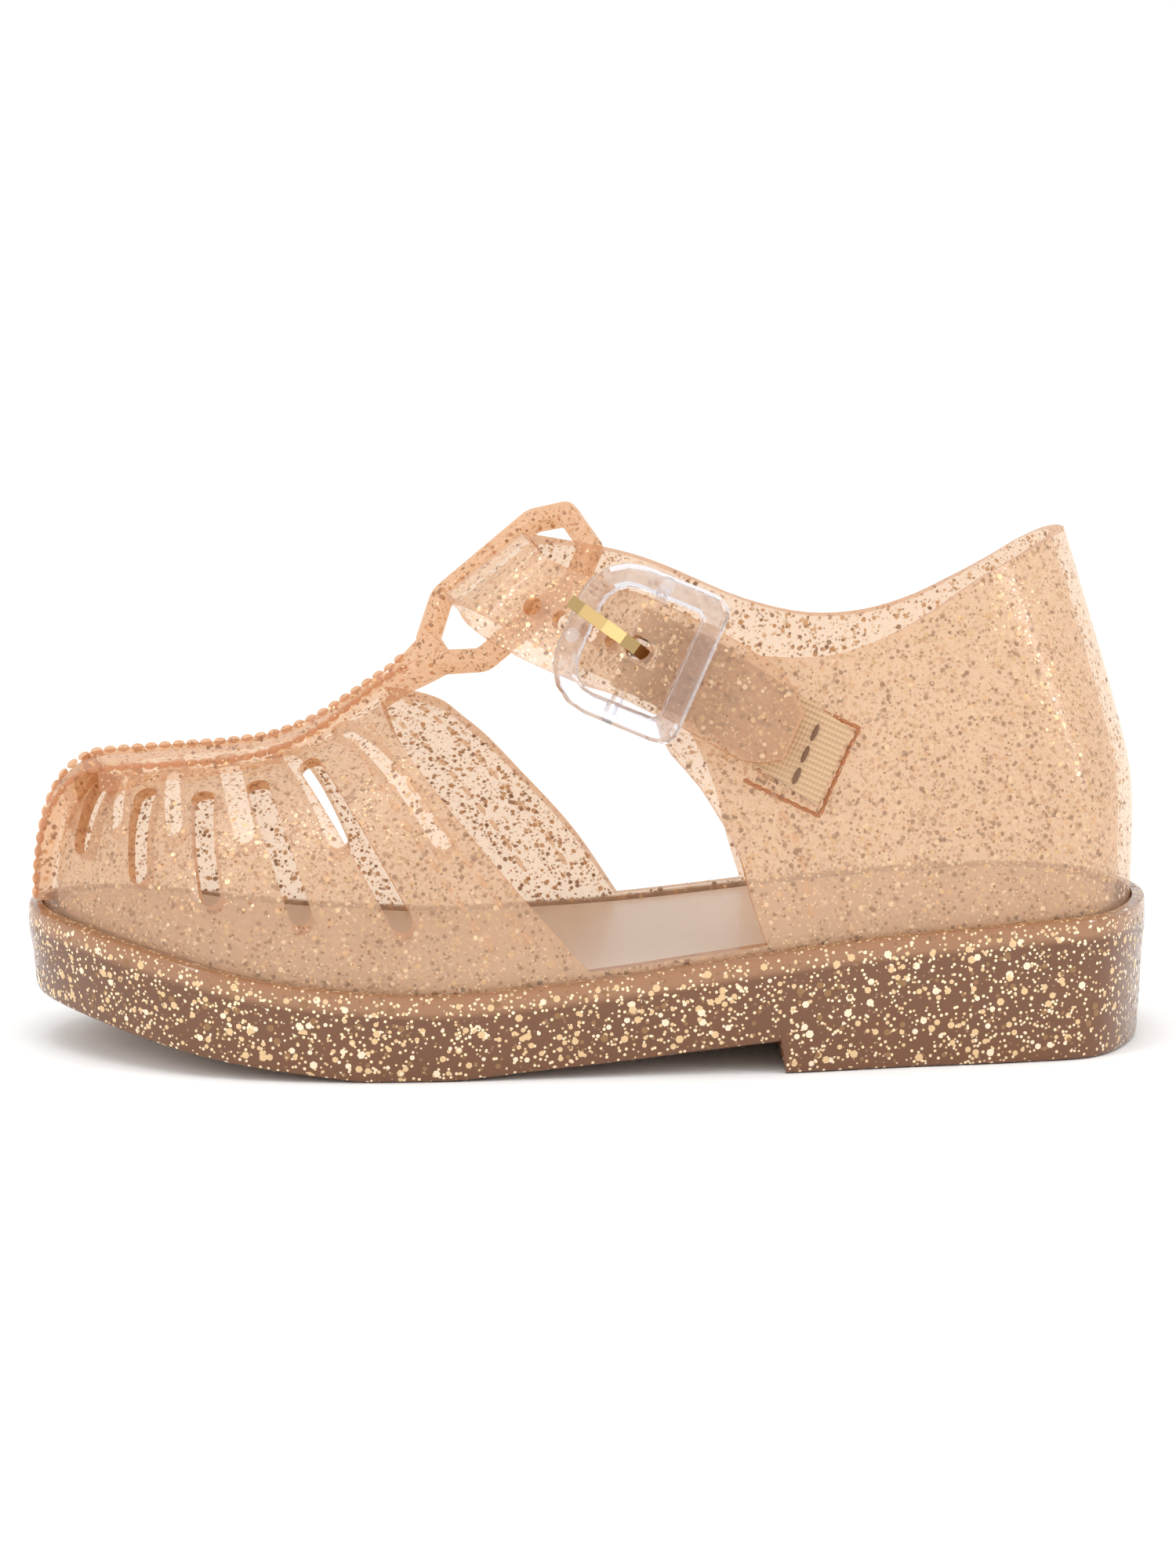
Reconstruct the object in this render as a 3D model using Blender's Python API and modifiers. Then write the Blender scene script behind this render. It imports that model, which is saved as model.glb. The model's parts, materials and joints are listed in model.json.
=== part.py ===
"""Jelly sandal for the left foot of a toddler: a moulded cage upper with a T-bar, on a thick sole.

The toe points to -X, the heel to +X, the outer side of the foot (the buckle side) to -Y.
The origin lies on the floor, under the middle of the sole.
"""
import math

import bmesh
import bpy
import numpy as np
from mathutils import Matrix, Vector

MM = 0.001
LATERAL = -1
MEDIAL = 1
SHARP_ANGLE = math.radians(35)

# Small steps along a surface that give its direction, as angle and as share
TURN_STEP = 0.02
SHARE_STEP = 0.01

# Sole
SHOE_LENGTH = 150.0 * MM
BALL_WIDTH = 62.0 * MM
SOLE_HEIGHT = 19.2 * MM
TOE_SPRING = 7.0 * MM
HEEL_STEP = 4.3 * MM
HEEL_BREAST_X = 24.4 * MM
BREAST_SLOPE = 0.8 * MM
SIDE_TAPER = 1.0 * MM
BOTTOM_ROUND = 0.8 * MM
RIM_ROUND = 0.7 * MM
LEDGE = 1.8 * MM
TRAY_DEPTH = 2.0 * MM
SOLE_STEPS = 40

# Gaps between touching pieces, and how the insole lies in the tray
CLEAR = 0.3 * MM
INSOLE_BELOW_RIM = 0.1 * MM
INSOLE_ROUND = 0.5 * MM

# Upper
WALL = 1.9 * MM
LIP = 0.8 * MM
INSTEP_RISE = 34.8 * MM
COLLAR_RISE = 34.7 * MM
HEEL_RISE = 49.2 * MM
COLLAR_WIDTH = 38.0 * MM
RIDGE_OFFSET = 0.5 * MM
VAMP_SQUARENESS = 2.35
VAMP_REAR_LATERAL = -0.007
VAMP_REAR_MEDIAL = 0.037
RIDGE_REAR = -0.187
RIDGE_FRONT = -0.425
VAMP_RIBS = 16
VAMP_ROWS = 9
BOW_LATERAL = -1.0 * MM
BOW_MEDIAL = 5.5 * MM
BOW_FADE = 0.4
QUARTER_FRONT_LATERAL = 0.149
QUARTER_FRONT_MEDIAL = 0.147
QUARTER_REACH = 8.5 * MM
QUARTER_FADE = 0.35
QUARTER_RIBS = 13
WAIST_STEPS = 4

# Toe plate and T-bar
PLATE_WIDTH = 17.0 * MM
PLATE_PROUD = 1.7 * MM
PLATE_EMBED = 1.0 * MM
PLATE_BORDER = 1.8 * MM
PANEL_SINK = 0.6 * MM
PLATE_CROWN = 1.0 * MM
TBAR_WIDTH = 7.5 * MM
TBAR_THICK = 3.2 * MM
TOE_FRONT_STEPS = 7
BORDER_ROUND = 0.4 * MM
BORDER_DROP = 0.3 * MM
PANEL_SLOPE = 0.25 * MM
TBAR_CROWN = 0.15 * MM
TBAR_END_SINK = 0.1 * MM

# Loop at the top of the T-bar
LOOP_LENGTH = 28.0 * MM
LOOP_WIDTH = 21.0 * MM
LOOP_MEMBER = 3.0 * MM
LOOP_THICK = 3.0 * MM
LOOP_EDGE = 0.5 * MM
LOOP_PITCH = math.radians(40)
LOOP_ROLL = math.radians(25)
LOOP_ALONG = -0.143
LOOP_RISE = 0.92
LOOP_TAIL = 0.27
LOOP_SPREAD_IN = 0.20
LOOP_SPREAD_OUT = 0.19

# Slots of the toe cage
SLOT_WIDTH = 3.0 * MM
SLOT_DEPTH = 9.0 * MM
SLOT_SIDES = 5

# Ankle strap
STRAP_WIDTH = 13.5 * MM
STRAP_ROWS = 4
STRAP_ARCH = 2.6 * MM
STRAP_TIP_SHARE = 0.5
STRAP_SPACING = 1.7 * MM
ROOT_BLEND = 15.0 * MM
HOLE_WIDTH = 2.6 * MM
HOLE_PITCH = 4.8 * MM
FREE_HOLES = 4
HOLE_CUT = 2.4

# Buckle
BUCKLE_LENGTH = 19.5 * MM
BUCKLE_WIDTH = 21.0 * MM
BUCKLE_MEMBER = 3.0 * MM
BUCKLE_THICK = 2.5 * MM
BUCKLE_FRONT_ROUND = 7.0 * MM
BUCKLE_REAR_ROUND = 2.5 * MM
BUCKLE_EDGE = 0.45 * MM
BUCKLE_CORNER = 1.0 * MM
PIN_RADIUS = 0.8 * MM
PIN_SINK = 1.8 * MM
PRONG_WIDTH = 1.7 * MM
PRONG_THICK = 0.9 * MM
PRONG_SKEW = math.radians(13)
PRONG_OVERHANG = 0.6 * MM
PRONG_HOLE_ALONG = 0.8 * MM
BUCKLE_SEAT_X = 14.0 * MM
BUCKLE_SEAT_RISE = 32.0 * MM
BUCKLE_ALONG = Vector((0.867, -0.385, -0.313)).normalized()
BUCKLE_ACROSS = Vector((0.379, 0.234, 0.897)).normalized()

# Elastic tab that ties the buckle to the quarter
ELASTIC_WIDTH = 11.0 * MM
ELASTIC_THICK = 0.6 * MM
NOTCH_WIDTH = 3.4 * MM
TAB_SPACING = 3.0 * MM
TAB_END_X = 31.0 * MM
TAB_END_RISE = 20.6 * MM
STRAP_TIP_X = 25.5 * MM
STRAP_TIP_RISE = 24.6 * MM

# Sole outline from heel to toe: share of SHOE_LENGTH, and how far out each side lies as a
# share of BALL_WIDTH.
OUTLINE = (
    # along, lateral, medial
    (0.500, 0.000, 0.000),
    (0.489, 0.158, 0.137),
    (0.452, 0.315, 0.262),
    (0.372, 0.376, 0.360),
    (0.267, 0.411, 0.376),
    (0.167, 0.452, 0.368),
    (0.067, 0.465, 0.390),
    (-0.067, 0.489, 0.458),
    (-0.167, 0.500, 0.500),
    (-0.267, 0.484, 0.487),
    (-0.347, 0.427, 0.444),
    (-0.413, 0.323, 0.360),
    (-0.467, 0.185, 0.237),
    (-0.500, -0.016, 0.016),
)

# Top edge of the sole: share of SHOE_LENGTH and share of SOLE_HEIGHT.
RIM = (
    # along, height
    (-0.500, 0.979),
    (-0.453, 0.927),
    (-0.413, 0.870),
    (-0.367, 0.802),
    (-0.313, 0.719),
    (-0.253, 0.661),
    (-0.207, 0.632),
    (-0.133, 0.609),
    (-0.053, 0.656),
    (0.023, 0.716),
    (0.100, 0.797),
    (0.160, 0.859),
    (0.340, 0.969),
    (0.447, 1.000),
    (0.500, 0.990),
)

# Underside before the heel: toe lift as a share of TOE_SPRING, waist lift as a share of HEEL_STEP.
UNDERSIDE = (
    # along, toe lift, waist lift
    (-0.500, 1.000, 0.000),
    (-0.453, 0.814, 0.000),
    (-0.413, 0.643, 0.000),
    (-0.367, 0.443, 0.000),
    (-0.313, 0.264, 0.000),
    (-0.253, 0.114, 0.000),
    (-0.207, 0.000, 0.000),
    (-0.127, 0.000, 0.000),
    (-0.053, 0.000, 0.256),
    (0.023, 0.000, 0.488),
    (0.100, 0.000, 0.779),
    (0.164, 0.000, 1.000),
)

# Ridge over the toes and along the T-bar: height over the heel rim as a share of INSTEP_RISE, and
# the width as shares of PLATE_WIDTH and of TBAR_WIDTH.
RIDGE = (
    # along, rise, plate, bar
    (-0.425, 0.562, 0.95, 0.00),
    (-0.367, 0.578, 1.00, 0.00),
    (-0.320, 0.592, 0.97, 0.00),
    (-0.280, 0.624, 0.86, 0.00),
    (-0.247, 0.684, 0.72, 0.00),
    (-0.220, 0.753, 0.45, 0.34),
    (-0.193, 0.828, 0.15, 0.78),
    (-0.167, 0.900, 0.00, 1.00),
)
PLATE_FOOT_SHARE = 0.66

# Bow of the vamp's rear edge: share of the way up, share of the bow.
REAR_BOW = (
    (0.00, 0.0),
    (0.28, 0.6),
    (0.53, 0.85),
    (0.80, 1.0),
    (0.93, 0.8),
    (1.00, 0.0),
)

# Collar, from the front edge of a quarter to the middle of the heel: share of the way round, share
# of SHOE_LENGTH, share of half COLLAR_WIDTH, and the rise from the collar's low point to the heel
# peak on each side.
COLLAR = (
    # round, along, out, lateral rise, medial rise
    (0.0, 0.087, 0.98, 0.10, 0.42),
    (0.1, 0.147, 1.00, 0.03, 0.15),
    (0.2, 0.203, 1.00, 0.03, 0.01),
    (0.3, 0.253, 0.98, 0.18, 0.03),
    (0.4, 0.297, 0.93, 0.42, 0.17),
    (0.5, 0.333, 0.84, 0.65, 0.37),
    (0.6, 0.363, 0.71, 0.80, 0.57),
    (0.7, 0.388, 0.55, 0.90, 0.77),
    (0.8, 0.407, 0.37, 0.96, 0.91),
    (0.9, 0.419, 0.19, 0.99, 0.98),
    (1.0, 0.424, 0.00, 1.00, 1.00),
)

# How a quarter's wall leans in as it rises, as shares of its way from the sole to the collar.
LEAN = (
    (0.00, 0.00),
    (0.16, -0.02),
    (0.30, 0.00),
    (0.56, 0.31),
    (0.78, 0.65),
    (1.00, 1.00),
)

# How far a quarter's front edge reaches forward, as a share of QUARTER_REACH.
FRONT_REACH = (
    (0.00, 0.00),
    (0.155, 0.26),
    (0.30, 0.41),
    (0.44, 0.56),
    (0.57, 0.75),
    (0.665, 0.98),
    (0.80, 0.94),
    (0.93, 0.50),
    (1.00, 0.00),
)

# Rows of a quarter's wall, as shares of its height. The ankle strap grows from the last four.
QUARTER_ROWS = (0.0, 0.09, 0.19, 0.30, 0.42, 0.55, 0.71, 0.87, 1.0)

# Slots: upper end and lower end, along as a share of SHOE_LENGTH and rise over the heel rim as a
# share of INSTEP_RISE.
LATERAL_SLOTS = (
    # top along, top rise, bottom along, bottom rise
    (-0.424, 0.495, -0.452, 0.221),
    (-0.391, 0.474, -0.400, 0.155),
    (-0.343, 0.477, -0.336, 0.103),
    (-0.297, 0.511, -0.257, 0.046),
    (-0.252, 0.578, -0.167, 0.020),
)
MEDIAL_SLOTS = (
    (-0.436, 0.495, -0.462, 0.240),
    (-0.408, 0.480, -0.424, 0.175),
    (-0.367, 0.474, -0.370, 0.115),
    (-0.322, 0.490, -0.303, 0.060),
    (-0.276, 0.540, -0.216, 0.030),
    (-0.222, 0.620, -0.120, 0.030),
)


def smooth(table, column, at):
    """Value of a table's column by a cubic whose slopes come from the neighbouring rows."""
    rows = sorted(table)
    keys = np.array([row[0] for row in rows])
    values = np.array([row[column] for row in rows])
    slopes = np.gradient(values, keys)
    at = min(max(at, keys[0]), keys[-1])
    i = min(max(int(np.searchsorted(keys, at, side="right")) - 1, 0), len(keys) - 2)
    step = keys[i + 1] - keys[i]
    f = (at - keys[i]) / step
    start = (2 * f**3 - 3 * f**2 + 1) * values[i] + (f**3 - 2 * f**2 + f) * step * slopes[i]
    end = (3 * f**2 - 2 * f**3) * values[i + 1] + (f**3 - f**2) * step * slopes[i + 1]
    return float(start + end)


def mix(a, b, share):
    return a + (b - a) * share


def turn_at(along):
    """Angle round the sole, 0 at the heel and pi at the toe, for a share of the length."""
    return math.acos(min(max(2 * along, -1.0), 1.0))


OUTLINE_TURNS = tuple((turn_at(row[0]), row[1], row[2]) for row in OUTLINE)


def outline_point(side, turn, inset=0.0):
    """Plan point on the sole's outline, moved inwards by an inset."""
    def raw(angle):
        column = 1 if side == LATERAL else 2
        out = BALL_WIDTH * smooth(OUTLINE_TURNS, column, angle)
        return Vector((0.5 * SHOE_LENGTH * math.cos(angle), side * out))

    tangent = (raw(min(turn + TURN_STEP, math.pi)) - raw(max(turn - TURN_STEP, 0.0))).normalized()
    if turn < TURN_STEP or turn > math.pi - TURN_STEP:
        tangent = Vector((0.0, side if turn < TURN_STEP else -side))
    inward = Vector((-tangent.y, tangent.x)) * side
    return raw(turn) + inward * inset


def rim_height(x):
    return SOLE_HEIGHT * smooth(RIM, 1, x / SHOE_LENGTH)


def underside_height(x):
    if x >= HEEL_BREAST_X + BREAST_SLOPE / 2:
        return 0.0
    along = x / SHOE_LENGTH
    toe = max(smooth(UNDERSIDE, 1, along), 0.0)
    return TOE_SPRING * toe + HEEL_STEP * max(smooth(UNDERSIDE, 2, along), 0.0)


def sole_turns():
    """Stations round the sole, with two close ones at the heel's breast."""
    breast = [turn_at((HEEL_BREAST_X + d * BREAST_SLOPE / 2) / SHOE_LENGTH) for d in (1, -1)]
    even = [math.pi * i / SOLE_STEPS for i in range(SOLE_STEPS + 1)]
    spare = 0.35 * math.pi / SOLE_STEPS
    kept = [turn for turn in even if min(abs(turn - b) for b in breast) > spare]
    return sorted(kept + breast)


def closed_ring(turns, inset, height):
    """Ring of points round the sole: lateral side to the toe, then the medial side back."""
    route = [(LATERAL, turn) for turn in turns] + [(MEDIAL, turn) for turn in turns[-2:0:-1]]
    ring = []
    for side, turn in route:
        plan = outline_point(side, turn, inset)
        level_x = 0.5 * SHOE_LENGTH * math.cos(turn)
        ring.append(Vector((plan.x, plan.y, height(level_x))))
    return ring


def new_object(name, bm, collection, material=None):
    bmesh.ops.recalc_face_normals(bm, faces=bm.faces)
    mesh = bpy.data.meshes.new(name)
    bm.to_mesh(mesh)
    bm.free()
    obj = bpy.data.objects.new(name, mesh)
    collection.objects.link(obj)
    if material:
        mesh.materials.append(material)
        mesh.shade_smooth()
        mesh.set_sharp_from_angle(angle=SHARP_ANGLE)
    return obj


def ring_solid(name, rings, collection, material=None):
    """Closed solid through rings round the sole, capped across from side to side."""
    bm = bmesh.new()
    loops = [[bm.verts.new(point) for point in ring] for ring in rings]
    count = len(loops[0])
    for low, high in zip(loops, loops[1:]):
        for i in range(count):
            j = (i + 1) % count
            bm.faces.new((low[i], low[j], high[j], high[i]))
    for loop in (loops[0], loops[-1]):
        last = count // 2
        for i in range(last):
            corners = [loop[i], loop[i + 1], loop[(count - i - 1) % count], loop[(count - i) % count]]
            bm.faces.new(list(dict.fromkeys(corners)))
    return new_object(name, bm, collection, material)


def build_outsole(collection, material):
    turns = sole_turns()
    steps = (
        # inset, height
        (SIDE_TAPER + BOTTOM_ROUND, underside_height),
        (SIDE_TAPER, lambda x: underside_height(x) + BOTTOM_ROUND),
        (0.0, lambda x: rim_height(x) - RIM_ROUND),
        (0.3 * RIM_ROUND, lambda x: rim_height(x) - 0.3 * RIM_ROUND),
        (RIM_ROUND, rim_height),
        (LEDGE, rim_height),
        (LEDGE, lambda x: rim_height(x) - TRAY_DEPTH),
    )
    rings = [closed_ring(turns, inset, height) for inset, height in steps]
    return ring_solid("outsole", rings, collection, material)


def build_insole(collection, material):
    turns = [math.pi * i / SOLE_STEPS for i in range(SOLE_STEPS + 1)]
    edge = LEDGE + CLEAR + WALL + CLEAR
    floor = TRAY_DEPTH - CLEAR
    steps = (
        (edge, lambda x: rim_height(x) - floor),
        (edge, lambda x: rim_height(x) - INSOLE_BELOW_RIM - INSOLE_ROUND),
        (edge + INSOLE_ROUND, lambda x: rim_height(x) - INSOLE_BELOW_RIM),
    )
    rings = [closed_ring(turns, inset, height) for inset, height in steps]
    return ring_solid("insole", rings, collection, material)


def ridge_point(along):
    """Point of the upper's own skin on the ridge over the toes."""
    rise = INSTEP_RISE * smooth(RIDGE, 1, along)
    return Vector((along * SHOE_LENGTH, RIDGE_OFFSET, SOLE_HEIGHT + rise - PLATE_PROUD))


def foot_of_wall(side, turn):
    """Foot of the upper's skin, at the top of its low lip."""
    plan = outline_point(side, turn, LEDGE + CLEAR)
    return Vector((plan.x, plan.y, rim_height(0.5 * SHOE_LENGTH * math.cos(turn)) + LIP))


def vamp_point(side, round_share, up):
    """Skin of the toe cage: ribs run from the sole to the ridge and fan out round the toe."""
    rear = VAMP_REAR_LATERAL if side == LATERAL else VAMP_REAR_MEDIAL
    base = foot_of_wall(side, mix(turn_at(rear), math.pi, round_share))
    top = ridge_point(mix(RIDGE_REAR, RIDGE_FRONT, math.sin(round_share * math.pi / 2)))
    angle = up * math.pi / 2
    rise = math.sin(angle) ** (2 / VAMP_SQUARENESS)
    inward = 1 - max(math.cos(angle), 0.0) ** (2 / VAMP_SQUARENESS)
    forward = mix(rise, inward, round_share)
    bow = (BOW_LATERAL if side == LATERAL else BOW_MEDIAL) * smooth(REAR_BOW, 1, rise)
    bow *= max(1 - round_share / BOW_FADE, 0.0) ** 2
    return Vector((mix(base.x, top.x, forward) + bow, mix(base.y, top.y, inward),
                   mix(base.z, top.z, rise)))


def quarter_point(side, round_share, up):
    """Skin of a quarter, from its front edge (0) to the middle of the heel (1)."""
    front = QUARTER_FRONT_LATERAL if side == LATERAL else QUARTER_FRONT_MEDIAL
    base = foot_of_wall(side, mix(turn_at(front), 0.0, round_share))
    rise = smooth(COLLAR, 3 if side == LATERAL else 4, round_share)
    top = Vector((SHOE_LENGTH * smooth(COLLAR, 1, round_share),
                  side * COLLAR_WIDTH / 2 * smooth(COLLAR, 2, round_share),
                  SOLE_HEIGHT + mix(COLLAR_RISE, HEEL_RISE, rise)))
    lean = smooth(LEAN, 1, up)
    reach = QUARTER_REACH * smooth(FRONT_REACH, 1, up) * max(1 - round_share / QUARTER_FADE, 0.0) ** 2
    return Vector((mix(base.x, top.x, lean) - reach, mix(base.y, top.y, lean),
                   mix(base.z, top.z, up)))


def find_on(surface, side, x, z):
    """Point and outward normal of a skin where a side view shows the place x, z."""
    best = None
    grid = 40
    spans = [(0.0, 1.0), (0.0, 1.0)]
    for _ in range(3):
        found = []
        for a in np.linspace(*spans[0], grid):
            for b in np.linspace(*spans[1], grid):
                point = surface(side, float(a), float(b))
                found.append((math.hypot(point.x - x, point.z - z), float(a), float(b)))
        best = min(found)
        spans = [(max(value - (span[1] - span[0]) / 12, 0.0), min(value + (span[1] - span[0]) / 12, 1.0))
                 for value, span in zip(best[1:], spans)]
        grid = 12
    _, a, b = best
    d = SHARE_STEP
    round_way = surface(side, min(a + d, 1.0), b) - surface(side, max(a - d, 0.0), b)
    up_way = surface(side, a, min(b + d, 1.0)) - surface(side, a, max(b - d, 0.0))
    normal = round_way.cross(up_way).normalized()
    if normal.y * side < 0:
        normal.negate()
    return surface(side, a, b), normal


def loop_frame():
    """Axes of the T-bar's loop: along it, across it, off its face, and the middle of its start."""
    along = Vector((math.cos(LOOP_PITCH), 0.0, math.sin(LOOP_PITCH)))
    level = Vector((0.0, 1.0, 0.0))
    off = along.cross(level)
    across = level * math.cos(LOOP_ROLL) + off * math.sin(LOOP_ROLL)
    off = along.cross(across)
    start = Vector((LOOP_ALONG * SHOE_LENGTH, RIDGE_OFFSET, SOLE_HEIGHT + LOOP_RISE * INSTEP_RISE))
    return along, across, off, start


def buckle_frame():
    """Axes of the buckle and its middle, seated over the lateral quarter at its rear bar."""
    seat, _ = find_on(quarter_point, LATERAL, BUCKLE_SEAT_X, SOLE_HEIGHT + BUCKLE_SEAT_RISE)
    off = BUCKLE_ALONG.cross(BUCKLE_ACROSS)
    across = off.cross(BUCKLE_ALONG)
    rear_bar = (BUCKLE_LENGTH - BUCKLE_MEMBER) / 2
    stack = 3 * CLEAR + 2 * ELASTIC_THICK + WALL - strap_wave(rear_bar)
    return BUCKLE_ALONG, across, off, seat + off * stack - BUCKLE_ALONG * rear_bar


def place(frame, a, b, c):
    """Point at distances along a frame's three axes."""
    first, second, third, start = frame
    return start + first * a + second * b + third * c


def spline(points, spacing):
    """Smooth curve through rows that start with a point, with steps of about one spacing."""
    rows = [np.array(point, dtype=float) for point in points]
    rows = [2 * rows[0] - rows[1]] + rows + [2 * rows[-1] - rows[-2]]
    curve = []
    for p0, p1, p2, p3 in zip(rows, rows[1:], rows[2:], rows[3:]):
        steps = max(round(float(np.linalg.norm((p2 - p1)[:3])) / spacing), 1)
        for i in range(steps):
            t = i / steps
            curve.append(0.5 * (2 * p1 + (p2 - p0) * t + (2 * p0 - 5 * p1 + 4 * p2 - p3) * t**2
                                + (3 * p1 - p0 - 3 * p2 + p3) * t**3))
    return curve + [rows[-2]]


def strap_over_pin():
    """Height of the strap's outer face over the pin bar, off the buckle's middle plane."""
    return -PIN_SINK + PIN_RADIUS + ELASTIC_THICK + 3 * CLEAR + WALL


def strap_wave(along):
    """Height of the strap's outer face in the buckle: under both end bars and over the pin."""
    bar = (BUCKLE_LENGTH - BUCKLE_MEMBER) / 2
    top = strap_over_pin()
    edge = -BUCKLE_THICK / 2 - 1.5 * CLEAR
    at_edge = math.cos(math.pi * (1 - (BUCKLE_MEMBER / 2 + BUCKLE_CORNER) / bar))
    swing = (top - edge) / (1 - at_edge)
    return top - swing * (1 - math.cos(math.pi * along / bar))


def strap_route():
    """Outer face of the ankle strap as rows: middle point, direction across, width."""
    loop = loop_frame()
    buckle = buckle_frame()
    middle = LOOP_LENGTH / 2 + 0.5 * MM
    side = (LOOP_WIDTH - LOOP_MEMBER) / 2
    under_loop = -LOOP_THICK / 2 - 2 * CLEAR
    over_loop = LOOP_THICK / 2 + CLEAR + WALL
    turned = (loop[0] + 0.35 * buckle[1]).normalized()
    bar = (BUCKLE_LENGTH - BUCKLE_MEMBER) / 2
    wall_stack = 2 * CLEAR + 2 * ELASTIC_THICK + WALL
    root = strap_root()
    rows = [
        ((root[0] + root[-1]) / 2, (root[-1] - root[0]).normalized(), (root[-1] - root[0]).length),
        (place(loop, middle, side, under_loop), loop[0], STRAP_WIDTH),
        (place(loop, middle, -0.5 * side, over_loop + STRAP_ARCH), turned, STRAP_WIDTH),
        (place(loop, middle + 0.5 * MM, -1.1 * side, over_loop + 0.45 * STRAP_ARCH), turned,
         STRAP_WIDTH),
    ]
    for i in range(-4, 5):
        along = i * bar / 4
        rows.append((place(buckle, along, 0, strap_wave(along)), buckle[1], STRAP_WIDTH))
    for share, width in ((0.55, 0.96), (0.8, 0.8), (1.0, STRAP_TIP_SHARE)):
        x = mix(BUCKLE_SEAT_X, STRAP_TIP_X, share)
        z = SOLE_HEIGHT + mix(BUCKLE_SEAT_RISE, STRAP_TIP_RISE, share)
        point, normal = find_on(quarter_point, LATERAL, x, z)
        run = BUCKLE_ALONG - normal * BUCKLE_ALONG.dot(normal)
        rows.append((point + normal * wall_stack, normal.cross(run).normalized(), STRAP_WIDTH * width))
    return rows


def strap_root():
    """Upper part of the medial quarter's front edge, from which the strap grows."""
    return [quarter_point(MEDIAL, 0.0, up) for up in QUARTER_ROWS[-STRAP_ROWS:]]


def strap_stations():
    """Smooth rows of the strap after its root: points across it from the lower edge up."""
    root = strap_root()
    shares = [i / (STRAP_ROWS - 1) for i in range(STRAP_ROWS)]
    bulge = [point - root[0].lerp(root[-1], share) for point, share in zip(root, shares)]
    rows = [tuple(middle) + tuple(across) + (width,) for middle, across, width in strap_route()]
    stations = []
    for number, row in enumerate(spline(rows, STRAP_SPACING)[1:], start=1):
        middle, across, width = Vector(row[:3]), Vector(row[3:6]).normalized(), row[6]
        left = max(1 - number * STRAP_SPACING / ROOT_BLEND, 0.0) ** 1.5
        stations.append([middle + across * width * (share - 0.5) + bend * left
                         for share, bend in zip(shares, bulge)])
    return stations


def upper_skin():
    """Outer skin of the moulded upper, one sheet: lip, toe cage, quarters and ankle strap."""
    bm = bmesh.new()
    ridge = [bm.verts.new(ridge_point(mix(RIDGE_REAR, RIDGE_FRONT, math.sin(i / VAMP_RIBS * math.pi / 2))))
             for i in range(VAMP_RIBS + 1)]

    def column(side, turn, wall_points, last=None):
        lip = foot_of_wall(side, turn)
        floor = Vector((lip.x, lip.y, lip.z - LIP - TRAY_DEPTH + CLEAR))
        verts = [bm.verts.new(floor), bm.verts.new(lip)]
        verts += [bm.verts.new(point) for point in wall_points]
        return verts + ([last] if last else [])

    def vamp_column(side, i):
        share = i / VAMP_RIBS
        rear = VAMP_REAR_LATERAL if side == LATERAL else VAMP_REAR_MEDIAL
        wall = [vamp_point(side, share, j / VAMP_ROWS) for j in range(1, VAMP_ROWS)]
        return column(side, mix(turn_at(rear), math.pi, share), wall, ridge[i])

    def waist_columns(side):
        front = QUARTER_FRONT_LATERAL if side == LATERAL else QUARTER_FRONT_MEDIAL
        rear = VAMP_REAR_LATERAL if side == LATERAL else VAMP_REAR_MEDIAL
        return [column(side, mix(turn_at(front), turn_at(rear), i / WAIST_STEPS), [])
                for i in range(1, WAIST_STEPS)]

    def quarter_column(side, i):
        share = i / QUARTER_RIBS
        front = QUARTER_FRONT_LATERAL if side == LATERAL else QUARTER_FRONT_MEDIAL
        wall = [quarter_point(side, share, up) for up in QUARTER_ROWS[1:]]
        return column(side, mix(turn_at(front), 0.0, share), wall)

    columns = []
    for side in (LATERAL, MEDIAL):
        half = [quarter_column(side, i) for i in range(QUARTER_RIBS, -1, -1)]
        half += waist_columns(side)
        half += [vamp_column(side, i) for i in range(VAMP_RIBS + 1)]
        columns.append(half)
    lateral, medial = columns
    for spare, kept in ((medial[0], lateral[0]), (medial[-1], lateral[-1])):
        for vert in spare:
            if vert not in kept:
                bm.verts.remove(vert)
    medial[0] = lateral[0]
    medial[-1] = lateral[-1]
    for half, order in ((lateral, 1), (medial, -1)):
        for left, right in zip(half, half[1:]):
            for row in range(min(len(left), len(right)) - 1):
                corners = (left[row], left[row + 1], right[row + 1], right[row])
                bm.faces.new(corners[::order])

    rows = [medial[QUARTER_RIBS][-STRAP_ROWS:]]
    for station in strap_stations():
        rows.append([bm.verts.new(point) for point in station])
    for near, far in zip(rows, rows[1:]):
        for row in range(STRAP_ROWS - 1):
            bm.faces.new((near[row], near[row + 1], far[row + 1], far[row]))
    bmesh.ops.recalc_face_normals(bm, faces=bm.faces)
    top = max(bm.faces, key=lambda face: face.calc_center_median().x)
    if top.normal.x < 0:
        bmesh.ops.reverse_faces(bm, faces=bm.faces)
    return bm


def sheet_object(name, bm, collection, material):
    """Object from an open sheet whose normals already point outwards."""
    mesh = bpy.data.meshes.new(name)
    bm.to_mesh(mesh)
    bm.free()
    mesh.materials.append(material)
    obj = bpy.data.objects.new(name, mesh)
    collection.objects.link(obj)
    return obj


def sweep_solid(name, sections, collection, material=None):
    """Closed solid through sections that have the same number of points."""
    bm = bmesh.new()
    loops = [[bm.verts.new(point) for point in section] for section in sections]
    count = len(loops[0])
    for near, far in zip(loops, loops[1:]):
        for i in range(count):
            j = (i + 1) % count
            bm.faces.new((near[i], near[j], far[j], far[i]))
    bm.faces.new(loops[0])
    bm.faces.new(loops[-1])
    return new_object(name, bm, collection, material)


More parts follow.
